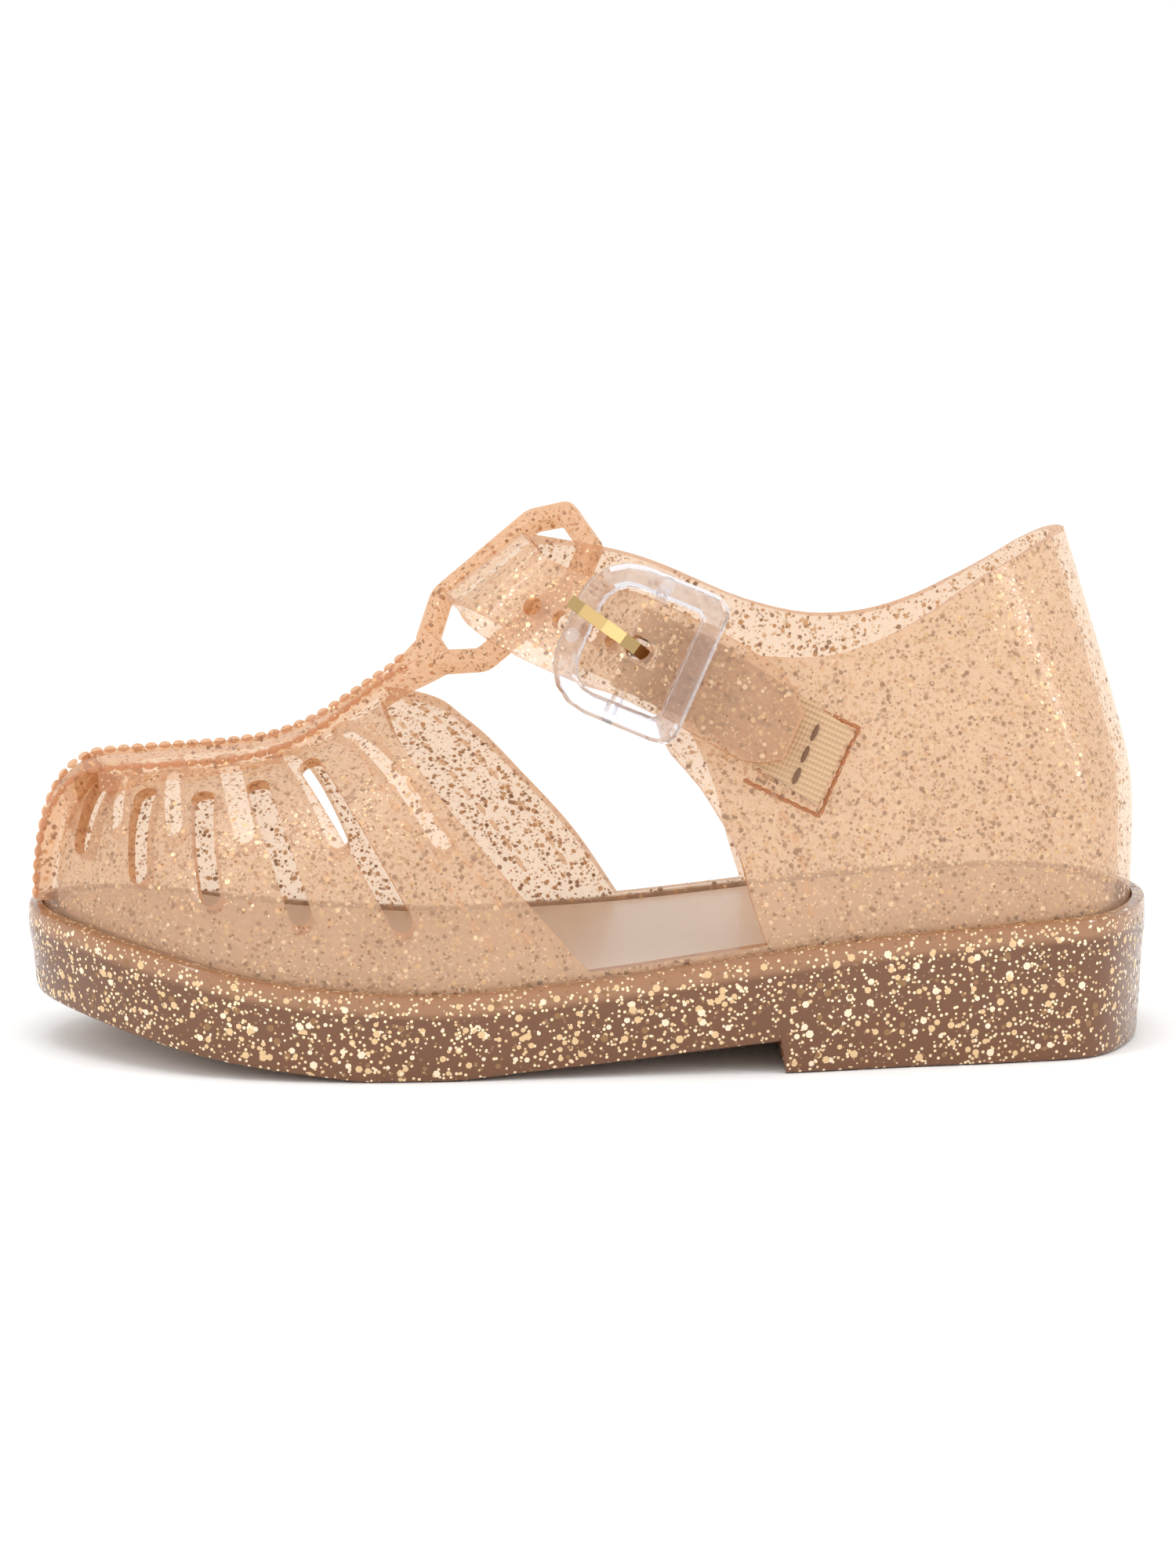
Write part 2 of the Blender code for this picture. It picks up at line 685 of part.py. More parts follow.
def plate_stations():
    """Top middle of the toe plate and T-bar, its two widths, and how much it is T-bar."""
    rows = []
    for i in range(TOE_FRONT_STEPS):
        up = i / TOE_FRONT_STEPS
        skin = vamp_point(LATERAL, 1.0, up)
        ahead = vamp_point(LATERAL, 1.0, up + 0.02)
        way = (ahead - skin).normalized()
        off = way.cross(Vector((0, 1, 0))).normalized()
        rows.append((skin + off * PLATE_PROUD, mix(PLATE_FOOT_SHARE, RIDGE[0][2], up**1.5), 0.0))
    rows[0] = (rows[0][0] + Vector((0, 0, CLEAR)), rows[0][1], rows[0][2])
    for along, _, plate, bar in RIDGE:
        top = ridge_point(along) + Vector((0, 0, PLATE_PROUD))
        rows.append((top, plate, bar))
    return rows


def build_plate(collection):
    """Toe plate with its raised borders, running on into the T-bar up to the loop."""
    rows = plate_stations()
    along, across, off, start = loop_frame()
    end = start + along * LOOP_MEMBER * 0.7 + off * LOOP_THICK / 2
    tops = [row[0] for row in rows] + [end]
    bars = [row[2] for row in rows] + [1.0]
    widths = [PLATE_WIDTH * row[1] + TBAR_WIDTH * row[2] for row in rows] + [TBAR_WIDTH]
    sections = []
    for i, (top, bar, width) in enumerate(zip(tops, bars, widths)):
        way = (tops[min(i + 1, len(tops) - 1)] - tops[max(i - 1, 0)]).normalized()
        side = Vector((0.0, 1.0, 0.0))
        normal = way.cross(side).normalized()
        if i == len(tops) - 1:
            side, normal = across, off
        elif i == len(tops) - 2:
            side, normal = (side + across).normalized(), (normal + off).normalized()
        thick = mix(PLATE_PROUD + PLATE_EMBED, TBAR_THICK, bar)
        crown = mix(PLATE_CROWN, TBAR_CROWN, bar)
        sink = PANEL_SINK if i < len(tops) - 1 else TBAR_END_SINK
        half = width / 2
        inner = half - PLATE_BORDER
        profile = (
            (-half, -thick), (-half, -BORDER_DROP), (-half + BORDER_ROUND, 0.0), (-inner, 0.0),
            (-inner + PANEL_SLOPE, -sink), (0.0, -sink), (inner - PANEL_SLOPE, -sink),
            (inner, 0.0), (half - BORDER_ROUND, 0.0), (half, -BORDER_DROP), (half, -thick),
            (0.0, -thick),
        )
        sections.append([top + side * y + normal * (n - crown * (y / half) ** 2) for y, n in profile])
    return sweep_solid("plate_and_bar", sections, collection)


def ring_plate(name, outer, inner, thick, edge, frame, collection, material=None):
    """Flat ring with rounded edges between two outlines of as many points, in a frame's plane."""
    bm = bmesh.new()
    half = thick / 2
    loops = []
    for start, end in zip(outer, inner):
        start, end = Vector(start), Vector(end)
        slope = (end - start).normalized() * edge
        profile = (
            (start, edge - half), (start, half - edge), (start + slope, half), (end - slope, half),
            (end, half - edge), (end, edge - half), (end - slope, -half), (start + slope, -half),
        )
        loops.append([bm.verts.new(place(frame, spot.x, spot.y, height)) for spot, height in profile])
    for near, far in zip(loops, loops[1:] + loops[:1]):
        for i in range(len(near)):
            j = (i + 1) % len(near)
            bm.faces.new((near[i], near[j], far[j], far[i]))
    return new_object(name, bm, collection, material)


def build_loop(collection):
    """Flat six-sided loop at the top of the T-bar."""
    half = LOOP_WIDTH / 2
    neck = TBAR_WIDTH / 2
    tail = LOOP_TAIL * LOOP_WIDTH
    slope_in, slope_out = LOOP_SPREAD_IN * LOOP_LENGTH, LOOP_SPREAD_OUT * LOOP_LENGTH
    outer = ((0, neck), (slope_in, half), (LOOP_LENGTH - slope_out, half), (LOOP_LENGTH, tail))
    m = LOOP_MEMBER
    inner = ((m, 0.75 * neck), (slope_in + 0.35 * m, half - m),
             (LOOP_LENGTH - slope_out - 0.35 * m, half - m), (LOOP_LENGTH - m, tail - 0.5 * m))
    outer, inner = [list(line) + [(a, -b) for a, b in reversed(line)] for line in (outer, inner)]
    return ring_plate("loop", outer, inner, LOOP_THICK, LOOP_EDGE, loop_frame(), collection)


def slot_cutter(bm, top, bottom, normal):
    """Round-ended prism through the wall, from a slot's top to its bottom."""
    way = (top - bottom).normalized()
    normal = (normal - way * normal.dot(way)).normalized()
    across = way.cross(normal)
    radius = SLOT_WIDTH / 2
    section = []
    for centre, start in ((top - way * radius, 0.0), (bottom + way * radius, math.pi)):
        for i in range(SLOT_SIDES + 1):
            angle = start + math.pi * i / SLOT_SIDES
            section.append(centre + across * math.cos(angle) * radius + way * math.sin(angle) * radius)
    near = [bm.verts.new(point + normal * SLOT_DEPTH) for point in section]
    far = [bm.verts.new(point - normal * SLOT_DEPTH) for point in section]
    bm.faces.new(near)
    bm.faces.new(far)
    for i in range(len(section)):
        j = (i + 1) % len(section)
        bm.faces.new((near[i], near[j], far[j], far[i]))


def build_slots(collection):
    bm = bmesh.new()
    for side, slots in ((LATERAL, LATERAL_SLOTS), (MEDIAL, MEDIAL_SLOTS)):
        for top_along, top_rise, bottom_along, bottom_rise in slots:
            ends = []
            for along, rise in ((top_along, top_rise), (bottom_along, bottom_rise)):
                x, z = along * SHOE_LENGTH, SOLE_HEIGHT + rise * INSTEP_RISE
                ends.append(find_on(vamp_point, side, x, z))
            (top, top_normal), (bottom, bottom_normal) = ends
            slot_cutter(bm, top, bottom, (top_normal + bottom_normal).normalized())
    return new_object("slot_cutters", bm, collection)


def strap_middle_line():
    """Outer middle line of the strap, with its outward normals and distances from the pin."""
    stations = strap_stations()
    points = [(row[0] + row[-1]) / 2 for row in stations]
    normals = []
    for i, row in enumerate(stations):
        way = points[min(i + 1, len(points) - 1)] - points[max(i - 1, 0)]
        normals.append(way.cross(row[-1] - row[0]).normalized())
    return points, normals


def build_holes(collection):
    """Prong hole and the free holes that follow it towards the loop."""
    points, normals = strap_middle_line()
    pin = place(buckle_frame(), PRONG_HOLE_ALONG, 0.0, strap_over_pin())
    start = min(range(len(points)), key=lambda i: (points[i] - pin).length)
    bm = bmesh.new()
    spots = [(pin, buckle_frame()[2], PRONG_WIDTH + 5 * CLEAR)]
    for number in range(1, FREE_HOLES + 1):
        left = number * HOLE_PITCH
        i = start
        while i > 0 and (points[i] - points[i - 1]).length < left:
            left -= (points[i] - points[i - 1]).length
            i -= 1
        share = left / (points[i] - points[i - 1]).length
        normal = normals[i].lerp(normals[i - 1], share)
        spots.append((points[i].lerp(points[i - 1], share), normal, HOLE_WIDTH))
    for point, normal, width in spots:
        turn = Vector((0, 0, 1)).rotation_difference(normal).to_matrix().to_4x4()
        middle = Matrix.Translation(point - normal.normalized() * WALL / 2)
        bmesh.ops.create_cone(bm, cap_ends=True, segments=10, radius1=width / 2,
                              radius2=width / 2, depth=HOLE_CUT * WALL, matrix=middle @ turn)
    return new_object("hole_cutters", bm, collection)


def boolean(obj, other, operation):
    modifier = obj.modifiers.new(other.name, "BOOLEAN")
    modifier.operation = operation
    modifier.object = other
    modifier.solver = "EXACT"


def build_upper(collection, cutters, material):
    upper = sheet_object("upper", upper_skin(), collection, material)
    wall = upper.modifiers.new("wall", "SOLIDIFY")
    wall.thickness = WALL
    wall.offset = -1.0
    wall.use_even_offset = True
    for part in (build_plate(cutters), build_loop(cutters)):
        boolean(upper, part, "UNION")
    for part in (build_slots(cutters), build_holes(cutters)):
        boolean(upper, part, "DIFFERENCE")
    return upper


def rounded(corners, steps=4):
    """Outline with round corners: each corner is a point and its radius."""
    line = []
    count = len(corners)
    for i, (point, radius) in enumerate(corners):
        point = Vector(point)
        before = (Vector(corners[i - 1][0]) - point).normalized()
        after = (Vector(corners[(i + 1) % count][0]) - point).normalized()
        half_angle = before.angle(after) / 2
        centre = point + (before + after).normalized() * radius / math.sin(half_angle)
        start = (point + before * radius / math.tan(half_angle) - centre).normalized()
        end = (point + after * radius / math.tan(half_angle) - centre).normalized()
        for j in range(steps + 1):
            line.append(centre + start.slerp(end, j / steps) * radius)
    return [(point.x, point.y) for point in line]


def build_buckle(collection, cutters, material):
    """Clear frame, round at its front, with the pin bar that carries the prong and the tab."""
    frame = buckle_frame()
    length, width = BUCKLE_LENGTH / 2, BUCKLE_WIDTH / 2
    front, rear, m = BUCKLE_FRONT_ROUND, BUCKLE_REAR_ROUND, BUCKLE_MEMBER
    outer = rounded((((-length, -width), front), ((length, -width), rear),
                     ((length, width), rear), ((-length, width), front)))
    inner = rounded((((m - length, m - width), front - m), ((length - m, m - width), 0.4 * rear),
                     ((length - m, width - m), 0.4 * rear), ((m - length, width - m), front - m)))
    buckle = ring_plate("buckle_frame", outer, inner, BUCKLE_THICK, BUCKLE_EDGE, frame, collection,
                        material)
    bar = bar_cylinder("pin_bar", frame, PIN_RADIUS, BUCKLE_WIDTH - BUCKLE_MEMBER, cutters)
    boolean(buckle, bar, "UNION")
    return buckle


def bar_cylinder(name, frame, radius, length, collection, segments=12, shift=0.0):
    """Cylinder along the buckle's pin bar."""
    bm = bmesh.new()
    turn = Vector((0, 0, 1)).rotation_difference(frame[1]).to_matrix().to_4x4()
    at = Matrix.Translation(place(frame, 0.0, shift, -PIN_SINK))
    bmesh.ops.create_cone(bm, cap_ends=True, segments=segments, radius1=radius, radius2=radius,
                          depth=length, matrix=at @ turn)
    return new_object(name, bm, collection)


def build_prong(collection, material):
    """Flat prong, hooked round the pin bar and resting on the front bar."""
    along, across, off, centre = buckle_frame()
    way = (along * math.cos(PRONG_SKEW) - across * math.sin(PRONG_SKEW)).normalized()
    side = off.cross(way)
    frame = (way, side, off, centre)
    hook = PIN_RADIUS + CLEAR + PRONG_THICK / 2
    rest = BUCKLE_THICK / 2 + CLEAR + PRONG_THICK / 2
    over_strap = strap_over_pin() + CLEAR + PRONG_THICK
    front = (BUCKLE_LENGTH - BUCKLE_MEMBER) / 2
    path = []
    for degrees in (-200, -165, -130, -95, -60, -25, 5):
        angle = math.radians(degrees)
        path.append((hook * math.cos(angle), -PIN_SINK + hook * math.sin(angle)))
    path += [
        (PRONG_HOLE_ALONG + 0.2 * MM, 0.7 * MM),
        (PRONG_HOLE_ALONG - 0.1 * MM, 0.7 * over_strap),
        (-0.9 * MM, over_strap),
        (-0.5 * front, mix(over_strap, rest, 0.4)),
        (-front, rest),
        (-front - BUCKLE_MEMBER / 2 - PRONG_OVERHANG, rest),
    ]
    sections = []
    for i, (a, n) in enumerate(path):
        before, after = path[max(i - 1, 0)], path[min(i + 1, len(path) - 1)]
        run = Vector((after[0] - before[0], after[1] - before[1])).normalized()
        thick = Vector((-run.y, run.x)) * PRONG_THICK / 2
        corners = []
        for sign, half in ((-1, -1), (-1, 1), (1, 1), (1, -1)):
            corners.append(place(frame, a + sign * thick.x, half * PRONG_WIDTH / 2, n + sign * thick.y))
        sections.append(corners)
    return sweep_solid("buckle_prong", sections, collection, material)


def build_elastic(collection, cutters, material):
    """Folded elastic tab round the pin bar, sewn at its end to the lateral quarter."""
    frame = buckle_frame()
    bar = (BUCKLE_LENGTH - BUCKLE_MEMBER) / 2
    fold = PIN_RADIUS + CLEAR
    below = WALL + CLEAR + ELASTIC_THICK
    rows = [(place(frame, fold + 0.4 * ELASTIC_THICK, 0, -PIN_SINK), frame[1]),
            (place(frame, 0.6 * bar, 0, strap_wave(0.6 * bar) - 1.33 * below), frame[1]),
            (place(frame, bar, 0, strap_wave(bar) - below), frame[1])]
    for share in (0.4, 0.7, 1.0):
        x = mix(BUCKLE_SEAT_X, TAB_END_X, share)
        z = SOLE_HEIGHT + mix(BUCKLE_SEAT_RISE, TAB_END_RISE, share)
        point, normal = find_on(quarter_point, LATERAL, x, z)
        run = BUCKLE_ALONG - normal * BUCKLE_ALONG.dot(normal)
        rows.append((point + normal * (CLEAR + ELASTIC_THICK), normal.cross(run).normalized()))
    curve = spline([tuple(point) + tuple(across) for point, across in rows], TAB_SPACING)
    points = [Vector(row[:3]) for row in curve]
    sections = []
    for i, row in enumerate(curve):
        way = (points[min(i + 1, len(points) - 1)] - points[max(i - 1, 0)]).normalized()
        across = Vector(row[3:6]).normalized()
        off = way.cross(across).normalized() * ELASTIC_THICK
        side = across * ELASTIC_WIDTH / 2
        middle = points[i]
        sections.append([middle - side - off, middle + side - off, middle + side + off,
                         middle - side + off])
    tab = sweep_solid("elastic_tab", sections, collection, material)
    notch = bmesh.new()
    reach = fold + PRONG_THICK + 2 * CLEAR
    axes = Matrix((frame[0], frame[1], frame[2])).transposed().to_4x4()
    bmesh.ops.create_cube(notch, size=1.0, matrix=Matrix.Translation(place(frame, 0, 0, -PIN_SINK))
                          @ axes @ Matrix.Diagonal((2 * reach, NOTCH_WIDTH, 2 * reach, 1.0)))
    boolean(tab, new_object("tab_notch", notch, cutters), "DIFFERENCE")
    half = (ELASTIC_WIDTH - NOTCH_WIDTH) / 2
    for name, side in (("tab_fold_low", -1), ("tab_fold_high", 1)):
        shift = side * (NOTCH_WIDTH + half) / 2
        boolean(tab, bar_cylinder(name, frame, fold + ELASTIC_THICK, half, cutters, 16, shift), "UNION")
    boolean(tab, bar_cylinder("tab_bore", frame, fold, 2 * ELASTIC_WIDTH, cutters, 16), "DIFFERENCE")
    return tab


def finish(name, colour, roughness, metallic=0.0, transmission=0.0):
    material = bpy.data.materials.new(name)
    material.use_nodes = True
    shader = material.node_tree.nodes["Principled BSDF"]
    shader.inputs["Base Color"].default_value = colour
    shader.inputs["Roughness"].default_value = roughness
    shader.inputs["Metallic"].default_value = metallic
    shader.inputs["Transmission Weight"].default_value = transmission
    material.diffuse_color = colour
    return material


def clear_scene():
    for obj in list(bpy.data.objects):
        bpy.data.objects.remove(obj, do_unlink=True)


def new_collection(name):
    collection = bpy.data.collections.new(name)
    bpy.context.scene.collection.children.link(collection)
    return collection


def main():
    clear_scene()
    sandal = new_collection("jelly_sandal")
    cutters = new_collection("cutters")
    jelly = finish("jelly", (0.86, 0.60, 0.42, 1.0), 0.2)
    dark_jelly = finish("sole_jelly", (0.50, 0.29, 0.17, 1.0), 0.2)
    build_outsole(sandal, dark_jelly)
    build_insole(sandal, finish("taupe_sheet", (0.47, 0.36, 0.29, 1.0), 0.4))
    build_upper(sandal, cutters, jelly)
    build_buckle(sandal, cutters, finish("clear_plastic", (0.95, 0.95, 0.97, 1.0), 0.08, 0.0, 0.9))
    build_prong(sandal, finish("gold_metal", (0.83, 0.66, 0.36, 1.0), 0.2, 1.0))
    build_elastic(sandal, cutters, finish("tan_elastic", (0.66, 0.47, 0.29, 1.0), 0.85))
    for guide in cutters.objects:
        guide.hide_render = True
        guide.display_type = "WIRE"


main()
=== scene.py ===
"""Looks of the jelly sandal: translucent glitter plastic, buckle, elastic and studio.

The upper and the sole are worked out again from the same sizes as the solids, with finer steps,
and stand for the plain nodes. The toe points to -X, the buckle side of the left shoe to -Y.
"""
import functools
import json
import math

import bmesh
import bpy
import numpy as np
from mathutils import Matrix, Vector
from mathutils.bvhtree import BVHTree

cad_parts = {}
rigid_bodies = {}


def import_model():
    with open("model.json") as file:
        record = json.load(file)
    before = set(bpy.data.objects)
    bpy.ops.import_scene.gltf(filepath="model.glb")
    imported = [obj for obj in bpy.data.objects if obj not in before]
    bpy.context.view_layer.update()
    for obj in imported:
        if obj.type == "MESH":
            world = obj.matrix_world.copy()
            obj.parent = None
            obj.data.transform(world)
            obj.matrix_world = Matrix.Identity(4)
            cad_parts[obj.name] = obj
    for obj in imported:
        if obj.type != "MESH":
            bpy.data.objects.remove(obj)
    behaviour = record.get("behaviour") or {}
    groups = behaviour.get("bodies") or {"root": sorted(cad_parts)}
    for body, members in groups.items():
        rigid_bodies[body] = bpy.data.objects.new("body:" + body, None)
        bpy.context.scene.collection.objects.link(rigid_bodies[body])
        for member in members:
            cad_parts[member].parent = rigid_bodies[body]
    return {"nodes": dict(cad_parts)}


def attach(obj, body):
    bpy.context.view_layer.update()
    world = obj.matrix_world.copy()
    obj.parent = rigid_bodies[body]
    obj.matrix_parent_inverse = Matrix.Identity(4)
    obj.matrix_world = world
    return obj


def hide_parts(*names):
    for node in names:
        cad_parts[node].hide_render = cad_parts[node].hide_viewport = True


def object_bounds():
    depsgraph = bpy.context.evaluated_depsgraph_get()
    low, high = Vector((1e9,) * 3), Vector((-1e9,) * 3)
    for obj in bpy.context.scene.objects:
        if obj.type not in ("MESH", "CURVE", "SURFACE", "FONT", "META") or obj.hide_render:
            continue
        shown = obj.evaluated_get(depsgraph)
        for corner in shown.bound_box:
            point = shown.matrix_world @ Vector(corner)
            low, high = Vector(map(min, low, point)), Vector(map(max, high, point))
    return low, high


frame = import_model()
cad_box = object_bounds()

MM = 0.001
LATERAL = -1
MEDIAL = 1
SHARP_ANGLE = math.radians(35)

# Small steps along a surface that give its direction, as angle and as share
TURN_STEP = 0.02
SHARE_STEP = 0.01

# Sole
SHOE_LENGTH = 150.0 * MM
BALL_WIDTH = 62.0 * MM
SOLE_HEIGHT = 19.2 * MM
TOE_SPRING = 7.0 * MM
HEEL_STEP = 4.3 * MM
HEEL_BREAST_X = 24.4 * MM
BREAST_SLOPE = 0.8 * MM
SIDE_TAPER = 1.0 * MM
BOTTOM_ROUND = 0.8 * MM
RIM_ROUND = 0.7 * MM
LEDGE = 1.8 * MM
TRAY_DEPTH = 2.0 * MM
SOLE_STEPS = 96
CLOSE_STATION = 0.35

# Gap between touching pieces
CLEAR = 0.3 * MM

# Upper
WALL = 1.9 * MM
LIP = 0.8 * MM
INSTEP_RISE = 34.8 * MM
COLLAR_RISE = 34.7 * MM
HEEL_RISE = 49.2 * MM
COLLAR_WIDTH = 38.0 * MM
RIDGE_OFFSET = 0.5 * MM
VAMP_SQUARENESS = 2.35
VAMP_REAR = {LATERAL: -0.007, MEDIAL: 0.037}
RIDGE_REAR = -0.187
RIDGE_FRONT = -0.425
VAMP_RIBS = 48
VAMP_ROWS = 27
BOW = {LATERAL: -1.0 * MM, MEDIAL: 5.5 * MM}
BOW_FADE = 0.4
QUARTER_FRONT = {LATERAL: 0.149, MEDIAL: 0.147}
QUARTER_REACH = 8.5 * MM
QUARTER_FADE = 0.35
QUARTER_RIBS = 39
WAIST_STEPS = 12

# Toe plate and T-bar
PLATE_WIDTH = 17.0 * MM
PLATE_PROUD = 1.7 * MM
PLATE_EMBED = 1.0 * MM
PLATE_BORDER = 1.8 * MM
PANEL_SINK = 0.6 * MM
PLATE_CROWN = 1.0 * MM
TBAR_WIDTH = 7.5 * MM
TBAR_THICK = 3.2 * MM
TOE_FRONT_STEPS = 7
BORDER_ROUND = 0.4 * MM
BORDER_DROP = 0.3 * MM
PANEL_SLOPE = 0.25 * MM
TBAR_CROWN = 0.15 * MM
TBAR_END_SINK = 0.1 * MM

# Loop at the top of the T-bar
LOOP_LENGTH = 28.0 * MM
LOOP_WIDTH = 21.0 * MM
LOOP_MEMBER = 3.0 * MM
LOOP_THICK = 3.0 * MM
RING_SIDES = 20
RING_SQUARE = 0.62
LOOP_PITCH = math.radians(40)
LOOP_ROLL = math.radians(25)
LOOP_ALONG = -0.143
LOOP_RISE = 0.92
LOOP_TAIL = 0.27
LOOP_SPREAD_IN = 0.20
LOOP_SPREAD_OUT = 0.19

# Slots of the toe cage
SLOT_WIDTH = 3.0 * MM
SLOT_DEPTH = 9.0 * MM
SLOT_SIDES = 12

# Ankle strap
STRAP_WIDTH = 13.5 * MM
STRAP_ROWS = 10
STRAP_ARCH = 2.6 * MM
STRAP_SHIFT = 0.5 * MM
STRAP_TURN = 0.35
BAR_STATIONS = 4
STRAP_SPACING = 0.85 * MM
ROOT_BLEND = 15.0 * MM
HOLE_WIDTH = 2.6 * MM
HOLE_PITCH = 4.8 * MM
FREE_HOLES = 4
HOLE_CUT = 2.4
HOLE_SIDES = 28

# Buckle
BUCKLE_LENGTH = 19.5 * MM
BUCKLE_WIDTH = 21.0 * MM
BUCKLE_MEMBER = 3.0 * MM
BUCKLE_THICK = 2.5 * MM
BUCKLE_CORNER = 1.0 * MM
PIN_RADIUS = 0.8 * MM
PIN_SINK = 1.8 * MM
PRONG_WIDTH = 1.7 * MM
PRONG_HOLE_ALONG = 0.8 * MM
BUCKLE_SEAT_X = 14.0 * MM
BUCKLE_SEAT_RISE = 32.0 * MM
BUCKLE_ALONG = Vector((0.867, -0.385, -0.313)).normalized()
BUCKLE_ACROSS = Vector((0.379, 0.234, 0.897)).normalized()

# Elastic tab that ties the buckle to the quarter
ELASTIC_WIDTH = 11.0 * MM
ELASTIC_THICK = 0.6 * MM
TAB_END_X = 31.0 * MM
TAB_END_RISE = 20.6 * MM

# Tip of the ankle strap, and its taper: share of the way to the tip, share of STRAP_WIDTH
STRAP_TAPER = ((0.55, 0.96), (0.8, 0.8), (1.0, 0.5))
STRAP_TIP_X = 25.5 * MM
STRAP_TIP_RISE = 24.6 * MM

# Search of a skin for the place that a side view shows
SEARCH_GRID = 40
CLOSER_GRID = 12
SEARCH_ROUNDS = 3

# Fine plate, beads along its borders and moulded stitch marks
CORNER_STEPS = 6
BAR_INTO_LOOP = 0.7
PLATE_SPACING = 1.2 * MM
BAR_BLEND = 6.0 * MM
BEAD_PITCH = 1.85 * MM
BEAD_SIZE = Vector((0.84 * MM, 0.66 * MM, 0.5 * MM))
BEADLESS_ROWS = 3
DASH_SIZE = Vector((1.15 * MM, 0.36 * MM, 0.3 * MM))
DASH_PITCH = 3.2 * MM
STITCH_STEPS = 40

# Fine sole: its skin stays inside the solid's, and a lighter band under the rim paints the glow of light
# through the plastic
SKIN_INSET = 0.06 * MM
RIM_INSET = 0.02 * MM
BAND_START = 3.2 * MM
BAND_FULL = 2.2 * MM

# Moulded outline and stitches at the elastic's sewn end
PAD_MARGIN = 0.9 * MM
PAD_STEP = 1.4 * MM
PAD_LENGTH = 10.0 * MM
PAD_CORD = Vector((0.62 * PAD_STEP, 0.3 * MM, 0.25 * MM))
THREAD_SIZE = Vector((1.25 * MM, 0.34 * MM, 0.2 * MM))
THREAD_BACK = 4.2 * MM
THREAD_GAP = 3.2 * MM
THREAD_LIFT = 0.04 * MM
SMALL_RINGS = 6

# Round marks on the buckle
MARK_FOOT = 1.0 * MM
MARK_TOP = 0.85 * MM
MARK_DEPTH = 0.08 * MM
MARK_LIFT = 0.01 * MM
MARK_SIDES = 24

# Looks of the plastics: dust and cloud inside them, and their colours
JELLY_ROUGHNESS = 0.2
DUST_CELL = 0.80 * MM
DUST_RADIUS = 0.17 * MM
DARK_CELL = 1.0 * MM
DARK_RADIUS = 0.20 * MM
DARK_SHARE = 0.4
SOLE_DARK_SHARE = 0.5
GLOW_SHARE = 0.5
CLOUD_SIZE = 9.0 * MM
RIPPLE_SIZE = 0.8 * MM
RIPPLE_DEPTH = 0.02 * MM
PALE_GOLD = (0.93, 0.74, 0.47)
DARK_SPECK = (0.26, 0.13, 0.06)
# Painted glow: lighter colour under the sole's rim, in place of light seeping through the plastic
PAINTED_RIM_GLOW = (0.40, 0.20, 0.10)
SOLE_BROWN = (0.17, 0.062, 0.020)
BUCKLE_TINT = (0.98, 0.98, 0.99)

# Colour, tint of the light that passes, and how much the surface stops
WALL_JELLY = ((0.88, 0.69, 0.53), (0.985, 0.915, 0.835), 0.36)
EDGE_JELLY = ((0.62, 0.33, 0.17), (0.94, 0.72, 0.52), 0.6)
THICK_JELLY = ((0.80, 0.52, 0.34), (0.96, 0.80, 0.64), 0.42)

# Glitter flakes: how many are drawn, seed, size, depths under the skin, tilt, shares of the metals
UPPER_FLAKES = (24000, 11, 0.40 * MM, (0.04 * MM, 0.5 * MM), 0.12, (0.42, 0.23, 0.35))
SOLE_FLAKES = (15000, 23, 0.58 * MM, (-0.03 * MM, -0.01 * MM), 0.0, (0.55, 0.2, 0.25))
FLAKE_LEAST = 0.3
FLAKE_SLACK = 0.02 * MM
FLAKE_SIDES = 6
FLAKE_GOLD = (0.74, 0.52, 0.29)
FLAKE_PALE = (0.88, 0.74, 0.54)
FLAKE_BROWN = (0.30, 0.17, 0.085)

# Looks of the insole, the elastic, its thread and the prong
TAUPE = (0.46, 0.34, 0.255)
ELASTIC_TAN = (0.66, 0.43, 0.25)
THREAD_BROWN = (0.17, 0.085, 0.045)
PRONG_GOLD = (0.40, 0.275, 0.12)
RIB_PITCH = 0.75 * MM
THREAD_PITCH = 0.5 * MM
RIB_DEPTH = 0.18 * MM
PRONG_EDGE = 0.3 * MM
ELASTIC_EDGE = 0.18 * MM

# Camera and studio, in metres and degrees
CAMERA_TARGET = Vector((0.0, 0.0, 0.034))
CAMERA_DISTANCE = 1.0
CAMERA_RISE = 10.5
CAMERA_TURN = 3.0
CAMERA_LENS = 171.5
SENSOR_WIDTH = 36.0
FLOOR_REACH = 30.0
FLOOR_WHITE = (0.97, 0.97, 0.97)
LIGHT_AIM = (0.0, 0.0, 0.03)
LIGHTS = (
    # name, place, width and height, power
    ("top_box", (-0.1, -0.25, 1.1), (0.9, 0.7), 4.0),
    ("left_box", (-0.9, -0.7, 0.6), (0.16, 0.7), 3.0),
    ("right_box", (0.9, -0.5, 0.5), (0.14, 0.7), 2.4),
)

# Sole outline from heel to toe: share of SHOE_LENGTH, and how far out each side lies as a
# share of BALL_WIDTH.
OUTLINE = (
    # along, lateral, medial
    (0.500, 0.000, 0.000),
    (0.489, 0.158, 0.137),
    (0.452, 0.315, 0.262),
    (0.372, 0.376, 0.360),
    (0.267, 0.411, 0.376),
    (0.167, 0.452, 0.368),
    (0.067, 0.465, 0.390),
    (-0.067, 0.489, 0.458),
    (-0.167, 0.500, 0.500),
    (-0.267, 0.484, 0.487),
    (-0.347, 0.427, 0.444),
    (-0.413, 0.323, 0.360),
    (-0.467, 0.185, 0.237),
    (-0.500, -0.016, 0.016),
)

